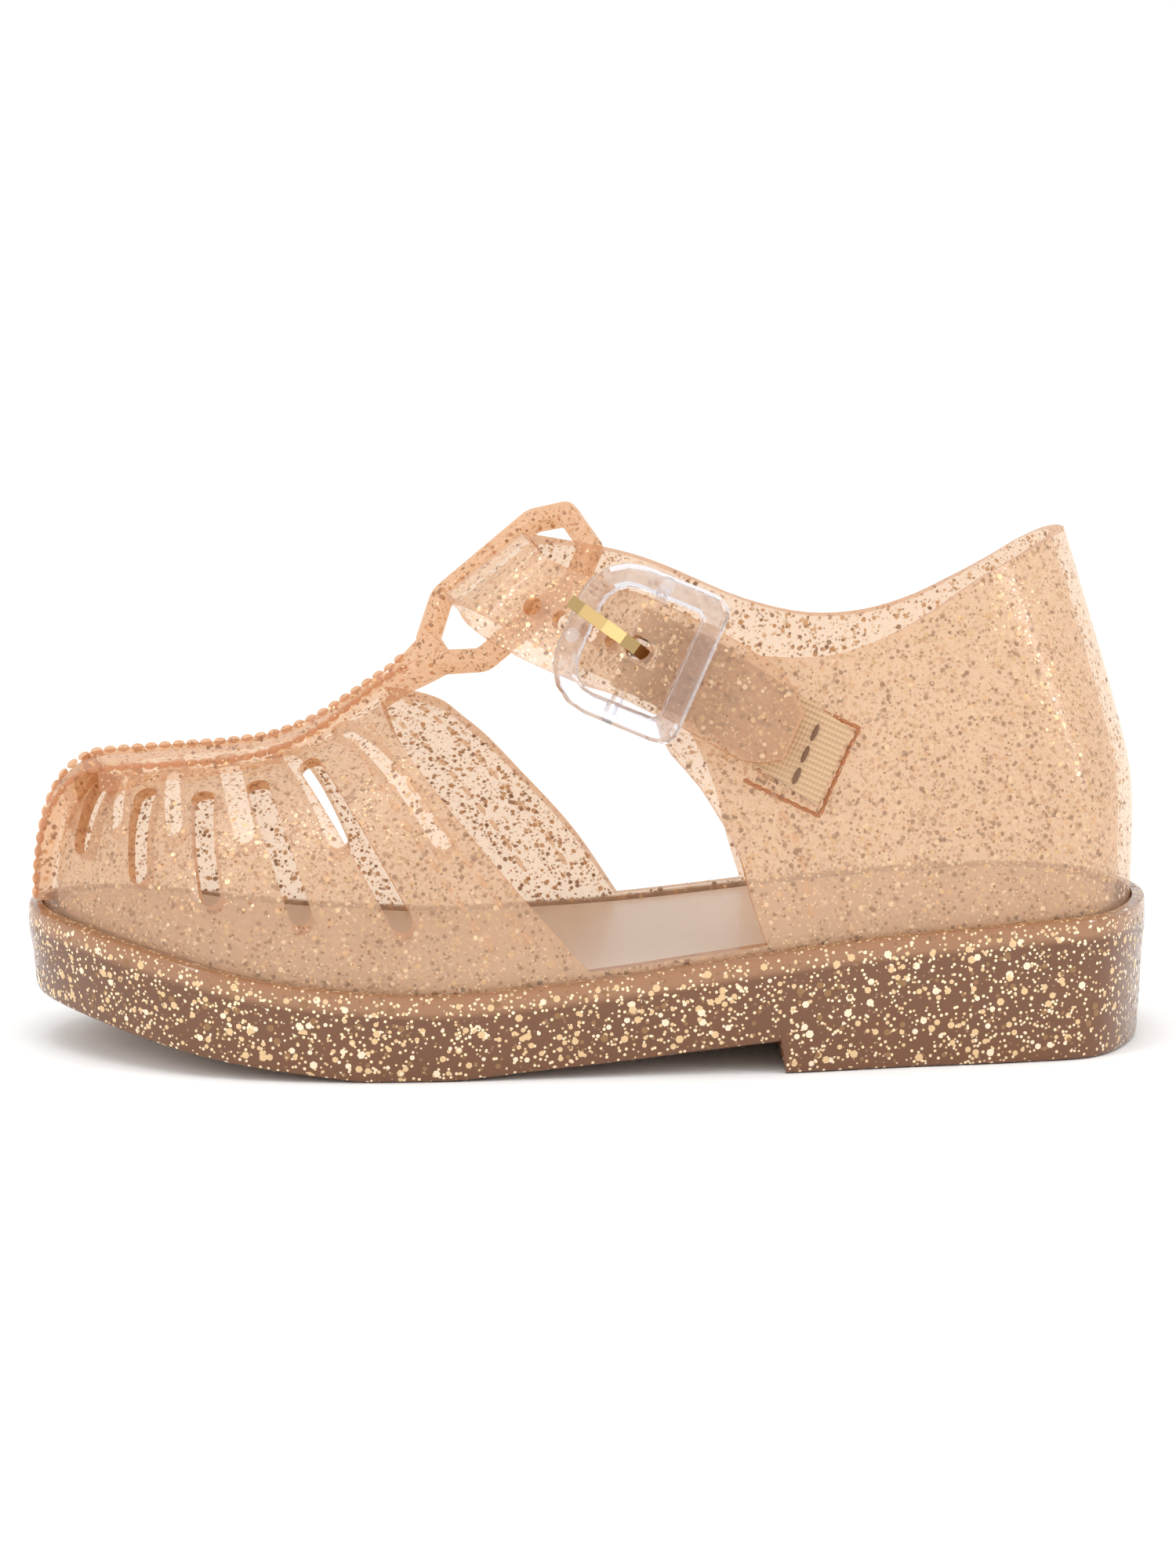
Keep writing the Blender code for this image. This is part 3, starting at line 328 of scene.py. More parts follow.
# Top edge of the sole: share of SHOE_LENGTH and share of SOLE_HEIGHT.
RIM = (
    # along, height
    (-0.500, 0.979),
    (-0.453, 0.927),
    (-0.413, 0.870),
    (-0.367, 0.802),
    (-0.313, 0.719),
    (-0.253, 0.661),
    (-0.207, 0.632),
    (-0.133, 0.609),
    (-0.053, 0.656),
    (0.023, 0.716),
    (0.100, 0.797),
    (0.160, 0.859),
    (0.340, 0.969),
    (0.447, 1.000),
    (0.500, 0.990),
)

# Underside before the heel: toe lift as a share of TOE_SPRING, waist lift as a share of HEEL_STEP.
UNDERSIDE = (
    # along, toe lift, waist lift
    (-0.500, 1.000, 0.000),
    (-0.453, 0.814, 0.000),
    (-0.413, 0.643, 0.000),
    (-0.367, 0.443, 0.000),
    (-0.313, 0.264, 0.000),
    (-0.253, 0.114, 0.000),
    (-0.207, 0.000, 0.000),
    (-0.127, 0.000, 0.000),
    (-0.053, 0.000, 0.256),
    (0.023, 0.000, 0.488),
    (0.100, 0.000, 0.779),
    (0.164, 0.000, 1.000),
)

# Ridge over the toes and along the T-bar: height over the heel rim as a share of INSTEP_RISE, and
# the width as shares of PLATE_WIDTH and of TBAR_WIDTH.
RIDGE = (
    # along, rise, plate, bar
    (-0.425, 0.562, 0.95, 0.00),
    (-0.367, 0.578, 1.00, 0.00),
    (-0.320, 0.592, 0.97, 0.00),
    (-0.280, 0.624, 0.86, 0.00),
    (-0.247, 0.684, 0.72, 0.00),
    (-0.220, 0.753, 0.45, 0.34),
    (-0.193, 0.828, 0.15, 0.78),
    (-0.167, 0.900, 0.00, 1.00),
)
PLATE_FOOT_SHARE = 0.66

# Bow of the vamp's rear edge: share of the way up, share of the bow.
REAR_BOW = (
    (0.00, 0.0),
    (0.28, 0.6),
    (0.53, 0.85),
    (0.80, 1.0),
    (0.93, 0.8),
    (1.00, 0.0),
)

# Collar, from the front edge of a quarter to the middle of the heel: share of the way round, share
# of SHOE_LENGTH, share of half COLLAR_WIDTH, and the rise from the collar's low point to the heel
# peak on each side.
COLLAR = (
    # round, along, out, lateral rise, medial rise
    (0.0, 0.087, 0.98, 0.10, 0.42),
    (0.1, 0.147, 1.00, 0.03, 0.15),
    (0.2, 0.203, 1.00, 0.03, 0.01),
    (0.3, 0.253, 0.98, 0.18, 0.03),
    (0.4, 0.297, 0.93, 0.42, 0.17),
    (0.5, 0.333, 0.84, 0.65, 0.37),
    (0.6, 0.363, 0.71, 0.80, 0.57),
    (0.7, 0.388, 0.55, 0.90, 0.77),
    (0.8, 0.407, 0.37, 0.96, 0.91),
    (0.9, 0.419, 0.19, 0.99, 0.98),
    (1.0, 0.424, 0.00, 1.00, 1.00),
)

# How a quarter's wall leans in as it rises, as shares of its way from the sole to the collar.
LEAN = (
    (0.00, 0.00),
    (0.16, -0.02),
    (0.30, 0.00),
    (0.56, 0.31),
    (0.78, 0.65),
    (1.00, 1.00),
)

# How far a quarter's front edge reaches forward, as a share of QUARTER_REACH.
FRONT_REACH = (
    (0.00, 0.00),
    (0.155, 0.26),
    (0.30, 0.41),
    (0.44, 0.56),
    (0.57, 0.75),
    (0.665, 0.98),
    (0.80, 0.94),
    (0.93, 0.50),
    (1.00, 0.00),
)

# Rows of a quarter's wall, as shares of its height. The ankle strap grows from the last four.
QUARTER_LEVELS = (0.0, 0.09, 0.19, 0.30, 0.42, 0.55, 0.71, 0.87, 1.0)
LEVEL_PARTS = 3

# Slots: upper end and lower end, along as a share of SHOE_LENGTH and rise over the heel rim as a
# share of INSTEP_RISE.
LATERAL_SLOTS = (
    # top along, top rise, bottom along, bottom rise
    (-0.424, 0.495, -0.452, 0.221),
    (-0.391, 0.474, -0.400, 0.155),
    (-0.343, 0.477, -0.336, 0.103),
    (-0.297, 0.511, -0.257, 0.046),
    (-0.252, 0.578, -0.167, 0.020),
)
MEDIAL_SLOTS = (
    (-0.436, 0.495, -0.462, 0.240),
    (-0.408, 0.480, -0.424, 0.175),
    (-0.367, 0.474, -0.370, 0.115),
    (-0.322, 0.490, -0.303, 0.060),
    (-0.276, 0.540, -0.216, 0.030),
    (-0.222, 0.620, -0.120, 0.030),
)


@functools.lru_cache(maxsize=None)
def sorted_column(table, column):
    rows = sorted(table)
    keys = np.array([row[0] for row in rows])
    values = np.array([row[column] for row in rows])
    return keys, values, np.gradient(values, keys)


def smooth(table, column, at):
    """Value of a table's column by a cubic whose slopes come from the neighbouring rows."""
    keys, values, slopes = sorted_column(table, column)
    at = min(max(at, keys[0]), keys[-1])
    i = min(max(int(np.searchsorted(keys, at, side="right")) - 1, 0), len(keys) - 2)
    step = keys[i + 1] - keys[i]
    f = (at - keys[i]) / step
    start = (2 * f**3 - 3 * f**2 + 1) * values[i] + (f**3 - 2 * f**2 + f) * step * slopes[i]
    end = (3 * f**2 - 2 * f**3) * values[i + 1] + (f**3 - f**2) * step * slopes[i + 1]
    return float(start + end)


def mix(a, b, share):
    return a + (b - a) * share


def shade(colour, share):
    return tuple(share * part for part in colour)


@functools.lru_cache(maxsize=None)
def quarter_rows():
    """Levels of a quarter's wall, each step of the table cut into equal parts."""
    fine = [mix(low, high, i / LEVEL_PARTS) for low, high in zip(QUARTER_LEVELS, QUARTER_LEVELS[1:])
            for i in range(LEVEL_PARTS)]
    return tuple(fine + [QUARTER_LEVELS[-1]])


def turn_at(along):
    """Angle round the sole, 0 at the heel and pi at the toe, for a share of the length."""
    return math.acos(min(max(2 * along, -1.0), 1.0))


OUTLINE_TURNS = tuple((turn_at(row[0]), row[1], row[2]) for row in OUTLINE)


def outline_point(side, turn, inset=0.0):
    """Plan point on the sole's outline, moved inwards by an inset."""
    def raw(angle):
        column = 1 if side == LATERAL else 2
        out = BALL_WIDTH * smooth(OUTLINE_TURNS, column, angle)
        return Vector((0.5 * SHOE_LENGTH * math.cos(angle), side * out))

    tangent = (raw(min(turn + TURN_STEP, math.pi)) - raw(max(turn - TURN_STEP, 0.0))).normalized()
    if turn < TURN_STEP or turn > math.pi - TURN_STEP:
        tangent = Vector((0.0, side if turn < TURN_STEP else -side))
    inward = Vector((-tangent.y, tangent.x)) * side
    return raw(turn) + inward * inset


def rim_height(x):
    return SOLE_HEIGHT * smooth(RIM, 1, x / SHOE_LENGTH)


def underside_height(x):
    if x >= HEEL_BREAST_X + BREAST_SLOPE / 2:
        return 0.0
    along = x / SHOE_LENGTH
    toe = max(smooth(UNDERSIDE, 1, along), 0.0)
    return TOE_SPRING * toe + HEEL_STEP * max(smooth(UNDERSIDE, 2, along), 0.0)


def sole_turns():
    """Stations round the sole, with two close ones at the heel's breast."""
    breast = [turn_at((HEEL_BREAST_X + d * BREAST_SLOPE / 2) / SHOE_LENGTH) for d in (1, -1)]
    even = [math.pi * i / SOLE_STEPS for i in range(SOLE_STEPS + 1)]
    spare = CLOSE_STATION * math.pi / SOLE_STEPS
    kept = [turn for turn in even if min(abs(turn - b) for b in breast) > spare]
    return sorted(kept + breast)


def closed_ring(turns, inset, height):
    """Ring of points round the sole: lateral side to the toe, then the medial side back."""
    route = [(LATERAL, turn) for turn in turns] + [(MEDIAL, turn) for turn in turns[-2:0:-1]]
    ring = []
    for side, turn in route:
        plan = outline_point(side, turn, inset)
        level_x = 0.5 * SHOE_LENGTH * math.cos(turn)
        ring.append(Vector((plan.x, plan.y, height(level_x))))
    return ring


def add_object(name, data, collection):
    obj = bpy.data.objects.new(name, data)
    collection.objects.link(obj)
    return obj


def walls(bm, loops):
    """Faces between each closed loop of points and the next."""
    count = len(loops[0])
    for near, far in zip(loops, loops[1:]):
        for i in range(count):
            j = (i + 1) % count
            bm.faces.new((near[i], near[j], far[j], far[i]))


def new_object(name, bm, collection, material=None):
    bmesh.ops.recalc_face_normals(bm, faces=bm.faces)
    mesh = bpy.data.meshes.new(name)
    bm.to_mesh(mesh)
    bm.free()
    if material:
        mesh.materials.append(material)
        mesh.shade_smooth()
        mesh.set_sharp_from_angle(angle=SHARP_ANGLE)
    return add_object(name, mesh, collection)


def ring_solid(name, rings, collection, material=None):
    """Closed solid through rings round the sole, capped across from side to side."""
    bm = bmesh.new()
    loops = [[bm.verts.new(point) for point in ring] for ring in rings]
    count = len(loops[0])
    walls(bm, loops)
    for loop in (loops[0], loops[-1]):
        last = count // 2
        for i in range(last):
            corners = [loop[i], loop[i + 1], loop[(count - i - 1) % count], loop[(count - i) % count]]
            bm.faces.new(list(dict.fromkeys(corners)))
    return new_object(name, bm, collection, material)


def ridge_point(along):
    """Point of the upper's own skin on the ridge over the toes."""
    rise = INSTEP_RISE * smooth(RIDGE, 1, along)
    return Vector((along * SHOE_LENGTH, RIDGE_OFFSET, SOLE_HEIGHT + rise - PLATE_PROUD))


def foot_of_wall(side, turn):
    """Foot of the upper's skin, at the top of its low lip."""
    plan = outline_point(side, turn, LEDGE + CLEAR)
    return Vector((plan.x, plan.y, rim_height(0.5 * SHOE_LENGTH * math.cos(turn)) + LIP))


def vamp_point(side, round_share, up):
    """Skin of the toe cage: ribs run from the sole to the ridge and fan out round the toe."""
    base = foot_of_wall(side, mix(turn_at(VAMP_REAR[side]), math.pi, round_share))
    top = ridge_point(mix(RIDGE_REAR, RIDGE_FRONT, math.sin(round_share * math.pi / 2)))
    angle = up * math.pi / 2
    rise = math.sin(angle) ** (2 / VAMP_SQUARENESS)
    inward = 1 - max(math.cos(angle), 0.0) ** (2 / VAMP_SQUARENESS)
    forward = mix(rise, inward, round_share)
    bow = BOW[side] * smooth(REAR_BOW, 1, rise) * max(1 - round_share / BOW_FADE, 0.0) ** 2
    return Vector((mix(base.x, top.x, forward) + bow, mix(base.y, top.y, inward),
                   mix(base.z, top.z, rise)))


def quarter_point(side, round_share, up):
    """Skin of a quarter, from its front edge (0) to the middle of the heel (1)."""
    base = foot_of_wall(side, mix(turn_at(QUARTER_FRONT[side]), 0.0, round_share))
    rise = smooth(COLLAR, 3 if side == LATERAL else 4, round_share)
    top = Vector((SHOE_LENGTH * smooth(COLLAR, 1, round_share),
                  side * COLLAR_WIDTH / 2 * smooth(COLLAR, 2, round_share),
                  SOLE_HEIGHT + mix(COLLAR_RISE, HEEL_RISE, rise)))
    lean = smooth(LEAN, 1, up)
    reach = QUARTER_REACH * smooth(FRONT_REACH, 1, up) * max(1 - round_share / QUARTER_FADE, 0.0) ** 2
    return Vector((mix(base.x, top.x, lean) - reach, mix(base.y, top.y, lean),
                   mix(base.z, top.z, up)))


def skin_normal(surface, side, a, b):
    """Outward normal of a skin at two shares."""
    d = SHARE_STEP
    round_way = surface(side, min(a + d, 1.0), b) - surface(side, max(a - d, 0.0), b)
    up_way = surface(side, a, min(b + d, 1.0)) - surface(side, a, max(b - d, 0.0))
    normal = round_way.cross(up_way).normalized()
    if normal.y * side < 0:
        normal.negate()
    return normal


@functools.lru_cache(maxsize=None)
def find_on(surface, side, x, z):
    """Point and outward normal of a skin where a side view shows the place x, z."""
    grid = SEARCH_GRID
    spans = [(0.0, 1.0), (0.0, 1.0)]
    for _ in range(SEARCH_ROUNDS):
        found = []
        for a in np.linspace(*spans[0], grid):
            for b in np.linspace(*spans[1], grid):
                point = surface(side, float(a), float(b))
                found.append((math.hypot(point.x - x, point.z - z), float(a), float(b)))
        _, a, b = min(found)
        reach = [(high - low) / CLOSER_GRID for low, high in spans]
        spans = [(max(value - part, 0.0), min(value + part, 1.0)) for value, part in zip((a, b), reach)]
        grid = CLOSER_GRID
    return surface(side, a, b), skin_normal(surface, side, a, b)


def loop_frame():
    """Axes of the T-bar's loop: along it, across it, off its face, and the middle of its start."""
    along = Vector((math.cos(LOOP_PITCH), 0.0, math.sin(LOOP_PITCH)))
    level = Vector((0.0, 1.0, 0.0))
    off = along.cross(level)
    across = level * math.cos(LOOP_ROLL) + off * math.sin(LOOP_ROLL)
    off = along.cross(across)
    start = Vector((LOOP_ALONG * SHOE_LENGTH, RIDGE_OFFSET, SOLE_HEIGHT + LOOP_RISE * INSTEP_RISE))
    return along, across, off, start


@functools.lru_cache(maxsize=None)
def buckle_frame():
    """Axes of the buckle and its middle, seated over the lateral quarter at its rear bar."""
    seat, _ = find_on(quarter_point, LATERAL, BUCKLE_SEAT_X, SOLE_HEIGHT + BUCKLE_SEAT_RISE)
    off = BUCKLE_ALONG.cross(BUCKLE_ACROSS)
    across = off.cross(BUCKLE_ALONG)
    rear_bar = (BUCKLE_LENGTH - BUCKLE_MEMBER) / 2
    stack = 3 * CLEAR + 2 * ELASTIC_THICK + WALL - strap_wave(rear_bar)
    return BUCKLE_ALONG, across, off, seat + off * stack - BUCKLE_ALONG * rear_bar


def place(axes, a, b, c):
    """Point at distances along three axes."""
    first, second, third, start = axes
    return start + first * a + second * b + third * c


def spline(points, spacing):
    """Smooth curve through rows that start with a point, with steps of about one spacing."""
    rows = [np.array(point, dtype=float) for point in points]
    rows = [2 * rows[0] - rows[1]] + rows + [2 * rows[-1] - rows[-2]]
    curve = []
    for p0, p1, p2, p3 in zip(rows, rows[1:], rows[2:], rows[3:]):
        steps = max(round(float(np.linalg.norm((p2 - p1)[:3])) / spacing), 1)
        for i in range(steps):
            t = i / steps
            curve.append(0.5 * (2 * p1 + (p2 - p0) * t + (2 * p0 - 5 * p1 + 4 * p2 - p3) * t**2
                                + (3 * p1 - p0 - 3 * p2 + p3) * t**3))
    return curve + [rows[-2]]


def strap_over_pin():
    """Height of the strap's outer face over the pin bar, off the buckle's middle plane."""
    return -PIN_SINK + PIN_RADIUS + ELASTIC_THICK + 3 * CLEAR + WALL


def strap_wave(along):
    """Height of the strap's outer face in the buckle: under both end bars and over the pin."""
    bar = (BUCKLE_LENGTH - BUCKLE_MEMBER) / 2
    top = strap_over_pin()
    edge = -BUCKLE_THICK / 2 - 1.5 * CLEAR
    at_edge = math.cos(math.pi * (1 - (BUCKLE_MEMBER / 2 + BUCKLE_CORNER) / bar))
    swing = (top - edge) / (1 - at_edge)
    return top - swing * (1 - math.cos(math.pi * along / bar))


def strap_route():
    """Outer face of the ankle strap as rows: middle point, direction across, width."""
    loop = loop_frame()
    buckle = buckle_frame()
    middle = LOOP_LENGTH / 2 + STRAP_SHIFT
    side = (LOOP_WIDTH - LOOP_MEMBER) / 2
    under_loop = -LOOP_THICK / 2 - 2 * CLEAR
    over_loop = LOOP_THICK / 2 + CLEAR + WALL
    turned = (loop[0] + STRAP_TURN * buckle[1]).normalized()
    bar = (BUCKLE_LENGTH - BUCKLE_MEMBER) / 2
    wall_stack = 2 * CLEAR + 2 * ELASTIC_THICK + WALL
    root = strap_root()
    rows = [
        ((root[0] + root[-1]) / 2, (root[-1] - root[0]).normalized(), (root[-1] - root[0]).length),
        (place(loop, middle, side, under_loop), loop[0], STRAP_WIDTH),
        (place(loop, middle, -0.5 * side, over_loop + STRAP_ARCH), turned, STRAP_WIDTH),
        (place(loop, middle + STRAP_SHIFT, -1.1 * side, over_loop + 0.45 * STRAP_ARCH), turned,
         STRAP_WIDTH),
    ]
    for i in range(-BAR_STATIONS, BAR_STATIONS + 1):
        along = i * bar / BAR_STATIONS
        rows.append((place(buckle, along, 0, strap_wave(along)), buckle[1], STRAP_WIDTH))
    for share, width in STRAP_TAPER:
        x = mix(BUCKLE_SEAT_X, STRAP_TIP_X, share)
        z = SOLE_HEIGHT + mix(BUCKLE_SEAT_RISE, STRAP_TIP_RISE, share)
        point, normal = find_on(quarter_point, LATERAL, x, z)
        run = BUCKLE_ALONG - normal * BUCKLE_ALONG.dot(normal)
        rows.append((point + normal * wall_stack, normal.cross(run).normalized(), STRAP_WIDTH * width))
    return rows


def strap_root():
    """Upper part of the medial quarter's front edge, from which the strap grows."""
    return [quarter_point(MEDIAL, 0.0, up) for up in quarter_rows()[-STRAP_ROWS:]]


@functools.lru_cache(maxsize=None)
def strap_stations():
    """Smooth rows of the strap after its root: points across it from the lower edge up."""
    root = strap_root()
    shares = [i / (STRAP_ROWS - 1) for i in range(STRAP_ROWS)]
    bulge = [point - root[0].lerp(root[-1], share) for point, share in zip(root, shares)]
    rows = [tuple(middle) + tuple(across) + (width,) for middle, across, width in strap_route()]
    stations = []
    for number, row in enumerate(spline(rows, STRAP_SPACING)[1:], start=1):
        middle, across, width = Vector(row[:3]), Vector(row[3:6]).normalized(), row[6]
        left = max(1 - number * STRAP_SPACING / ROOT_BLEND, 0.0) ** 1.5
        stations.append([middle + across * width * (share - 0.5) + bend * left
                         for share, bend in zip(shares, bulge)])
    return stations


def upper_skin():
    """Outer skin of the moulded upper, one sheet: lip, toe cage, quarters and ankle strap."""
    bm = bmesh.new()
    ridge = [bm.verts.new(ridge_point(mix(RIDGE_REAR, RIDGE_FRONT, math.sin(i / VAMP_RIBS * math.pi / 2))))
             for i in range(VAMP_RIBS + 1)]

    def column(side, turn, wall_points, last=None):
        lip = foot_of_wall(side, turn)
        floor = Vector((lip.x, lip.y, lip.z - LIP - TRAY_DEPTH + CLEAR))
        verts = [bm.verts.new(floor), bm.verts.new(lip)]
        verts += [bm.verts.new(point) for point in wall_points]
        return verts + ([last] if last else [])

    def vamp_column(side, i):
        share = i / VAMP_RIBS
        wall = [vamp_point(side, share, j / VAMP_ROWS) for j in range(1, VAMP_ROWS)]
        return column(side, mix(turn_at(VAMP_REAR[side]), math.pi, share), wall, ridge[i])

    def waist_columns(side):
        front, rear = turn_at(QUARTER_FRONT[side]), turn_at(VAMP_REAR[side])
        return [column(side, mix(front, rear, i / WAIST_STEPS), []) for i in range(1, WAIST_STEPS)]

    def quarter_column(side, i):
        share = i / QUARTER_RIBS
        wall = [quarter_point(side, share, up) for up in quarter_rows()[1:]]
        return column(side, mix(turn_at(QUARTER_FRONT[side]), 0.0, share), wall)

    columns = []
    for side in (LATERAL, MEDIAL):
        half = [quarter_column(side, i) for i in range(QUARTER_RIBS, -1, -1)]
        half += waist_columns(side)
        half += [vamp_column(side, i) for i in range(VAMP_RIBS + 1)]
        columns.append(half)
    lateral, medial = columns
    for spare, kept in ((medial[0], lateral[0]), (medial[-1], lateral[-1])):
        for vert in spare:
            if vert not in kept:
                bm.verts.remove(vert)
    medial[0] = lateral[0]
    medial[-1] = lateral[-1]
    for half, order in ((lateral, 1), (medial, -1)):
        for left, right in zip(half, half[1:]):
            for row in range(min(len(left), len(right)) - 1):
                corners = (left[row], left[row + 1], right[row + 1], right[row])
                bm.faces.new(corners[::order])

    rows = [medial[QUARTER_RIBS][-STRAP_ROWS:]]
    for station in strap_stations():
        rows.append([bm.verts.new(point) for point in station])
    for near, far in zip(rows, rows[1:]):
        for row in range(STRAP_ROWS - 1):
            bm.faces.new((near[row], near[row + 1], far[row + 1], far[row]))
    bmesh.ops.recalc_face_normals(bm, faces=bm.faces)
    top = max(bm.faces, key=lambda face: face.calc_center_median().x)
    if top.normal.x < 0:
        bmesh.ops.reverse_faces(bm, faces=bm.faces)
    return bm


def sheet_object(name, bm, collection, material):
    """Object from an open sheet whose normals already point outwards."""
    mesh = bpy.data.meshes.new(name)
    bm.to_mesh(mesh)
    bm.free()
    mesh.materials.append(material)
    return add_object(name, mesh, collection)


def sweep_solid(name, sections, collection, material=None):
    """Closed solid through sections that have the same number of points."""
    bm = bmesh.new()
    loops = [[bm.verts.new(point) for point in section] for section in sections]
    walls(bm, loops)
    bm.faces.new(loops[0])
    bm.faces.new(loops[-1])
    return new_object(name, bm, collection, material)


def plate_stations():
    """Top middle of the toe plate and T-bar, its two widths, and how much it is T-bar."""
    rows = []
    for i in range(TOE_FRONT_STEPS):
        up = i / TOE_FRONT_STEPS
        skin = vamp_point(LATERAL, 1.0, up)
        ahead = vamp_point(LATERAL, 1.0, up + 2 * SHARE_STEP)
        way = (ahead - skin).normalized()
        off = way.cross(Vector((0, 1, 0))).normalized()
        rows.append((skin + off * PLATE_PROUD, mix(PLATE_FOOT_SHARE, RIDGE[0][2], up**1.5), 0.0))
    rows[0] = (rows[0][0] + Vector((0, 0, CLEAR)), rows[0][1], rows[0][2])
    for along, _, plate, bar in RIDGE:
        top = ridge_point(along) + Vector((0, 0, PLATE_PROUD))
        rows.append((top, plate, bar))
    return rows


def plump_ring(name, outer, inner, thick, axes, collection, material):
    """Ring with a full round section between two outlines of as many points."""
    bm = bmesh.new()
    loops = []
    for start, end in zip(outer, inner):
        start, end = Vector(start), Vector(end)
        middle, reach = (start + end) / 2, (start - end) / 2
        loop = []
        for i in range(RING_SIDES):
            angle = math.tau * i / RING_SIDES
            out, up = math.cos(angle), math.sin(angle)
            spot = middle + reach * math.copysign(abs(out) ** RING_SQUARE, out)
            height = thick / 2 * math.copysign(abs(up) ** RING_SQUARE, up)
            loop.append(bm.verts.new(place(axes, spot.x, spot.y, height)))
        loops.append(loop)
    walls(bm, loops + loops[:1])
    return new_object(name, bm, collection, material)


def build_loop(collection, material):
    """Six-sided loop at the top of the T-bar, with round corners."""
    half = LOOP_WIDTH / 2
    neck = TBAR_WIDTH / 2
    tail = LOOP_TAIL * LOOP_WIDTH
    slope_in, slope_out = LOOP_SPREAD_IN * LOOP_LENGTH, LOOP_SPREAD_OUT * LOOP_LENGTH
    m = LOOP_MEMBER
    # along, across, corner radius in mm
    outer = ((0, neck, 1.2), (slope_in, half, 3.2), (LOOP_LENGTH - slope_out, half, 3.2),
             (LOOP_LENGTH, tail, 2.6))
    inner = ((m, 0.75 * neck, 0.6), (slope_in + 0.35 * m, half - m, 1.2),
             (LOOP_LENGTH - slope_out - 0.35 * m, half - m, 1.2), (LOOP_LENGTH - m, tail - 0.5 * m, 1.0))
    outer, inner = [rounded([((a, b), r * MM) for a, b, r in line]
                            + [((a, -b), r * MM) for a, b, r in reversed(line)])
                    for line in (outer, inner)]
    return plump_ring("loop", outer, inner, LOOP_THICK, loop_frame(), collection, material)


def slot_cutter(bm, top, bottom, normal):
    """Round-ended prism through the wall, from a slot's top to its bottom."""
    way = (top - bottom).normalized()
    normal = (normal - way * normal.dot(way)).normalized()
    across = way.cross(normal)
    radius = SLOT_WIDTH / 2
    section = []
    for centre, start in ((top - way * radius, 0.0), (bottom + way * radius, math.pi)):
        for i in range(SLOT_SIDES + 1):
            angle = start + math.pi * i / SLOT_SIDES
            section.append(centre + across * math.cos(angle) * radius + way * math.sin(angle) * radius)
    near = [bm.verts.new(point + normal * SLOT_DEPTH) for point in section]
    far = [bm.verts.new(point - normal * SLOT_DEPTH) for point in section]
    bm.faces.new(near)
    bm.faces.new(far)
    walls(bm, (near, far))


def build_slots(collection):
    bm = bmesh.new()
    for side, slots in ((LATERAL, LATERAL_SLOTS), (MEDIAL, MEDIAL_SLOTS)):
        for top_along, top_rise, bottom_along, bottom_rise in slots:
            ends = []
            for along, rise in ((top_along, top_rise), (bottom_along, bottom_rise)):
                x, z = along * SHOE_LENGTH, SOLE_HEIGHT + rise * INSTEP_RISE
                ends.append(find_on(vamp_point, side, x, z))
            (top, top_normal), (bottom, bottom_normal) = ends
            slot_cutter(bm, top, bottom, (top_normal + bottom_normal).normalized())
    return new_object("slot_cutters", bm, collection)


def strap_middle_line():
    """Outer middle line of the strap, with its outward normals and distances from the pin."""
    stations = strap_stations()
    points = [(row[0] + row[-1]) / 2 for row in stations]
    normals = []
    for i, row in enumerate(stations):
        way = points[min(i + 1, len(points) - 1)] - points[max(i - 1, 0)]
        normals.append(way.cross(row[-1] - row[0]).normalized())
    return points, normals


def build_holes(collection):
    """Prong hole and the free holes that follow it towards the loop."""
    points, normals = strap_middle_line()
    pin = place(buckle_frame(), PRONG_HOLE_ALONG, 0.0, strap_over_pin())
    start = min(range(len(points)), key=lambda i: (points[i] - pin).length)
    bm = bmesh.new()
    spots = [(pin, buckle_frame()[2], PRONG_WIDTH + 5 * CLEAR)]
    for number in range(1, FREE_HOLES + 1):
        left = number * HOLE_PITCH
        i = start
        while i > 0 and (points[i] - points[i - 1]).length < left:
            left -= (points[i] - points[i - 1]).length
            i -= 1
        share = left / (points[i] - points[i - 1]).length
        normal = normals[i].lerp(normals[i - 1], share)
        spots.append((points[i].lerp(points[i - 1], share), normal, HOLE_WIDTH))
    for point, normal, width in spots:
        at = facing(point - normal.normalized() * WALL / 2, normal)
        bmesh.ops.create_cone(bm, cap_ends=True, segments=HOLE_SIDES, radius1=width / 2,
                              radius2=width / 2, depth=HOLE_CUT * WALL, matrix=at)
    return new_object("hole_cutters", bm, collection)


def facing(point, normal):
    """Placement at a point with the local Z along a normal."""
    turn = Vector((0, 0, 1)).rotation_difference(normal).to_matrix().to_4x4()
    return Matrix.Translation(point) @ turn


def boolean(obj, other, operation):
    modifier = obj.modifiers.new(other.name, "BOOLEAN")
    modifier.operation = operation
    modifier.object = other
    modifier.solver = "EXACT"


def rounded(corners):
    """Outline with round corners: each corner is a point and its radius."""
    line = []
    count = len(corners)
    for i, (point, radius) in enumerate(corners):
        point = Vector(point)
        before = (Vector(corners[i - 1][0]) - point).normalized()
        after = (Vector(corners[(i + 1) % count][0]) - point).normalized()
        half_angle = before.angle(after) / 2
        centre = point + (before + after).normalized() * radius / math.sin(half_angle)
        start = (point + before * radius / math.tan(half_angle) - centre).normalized()
        end = (point + after * radius / math.tan(half_angle) - centre).normalized()
        for j in range(CORNER_STEPS + 1):
            line.append(centre + start.slerp(end, j / CORNER_STEPS) * radius)
    return [(point.x, point.y) for point in line]


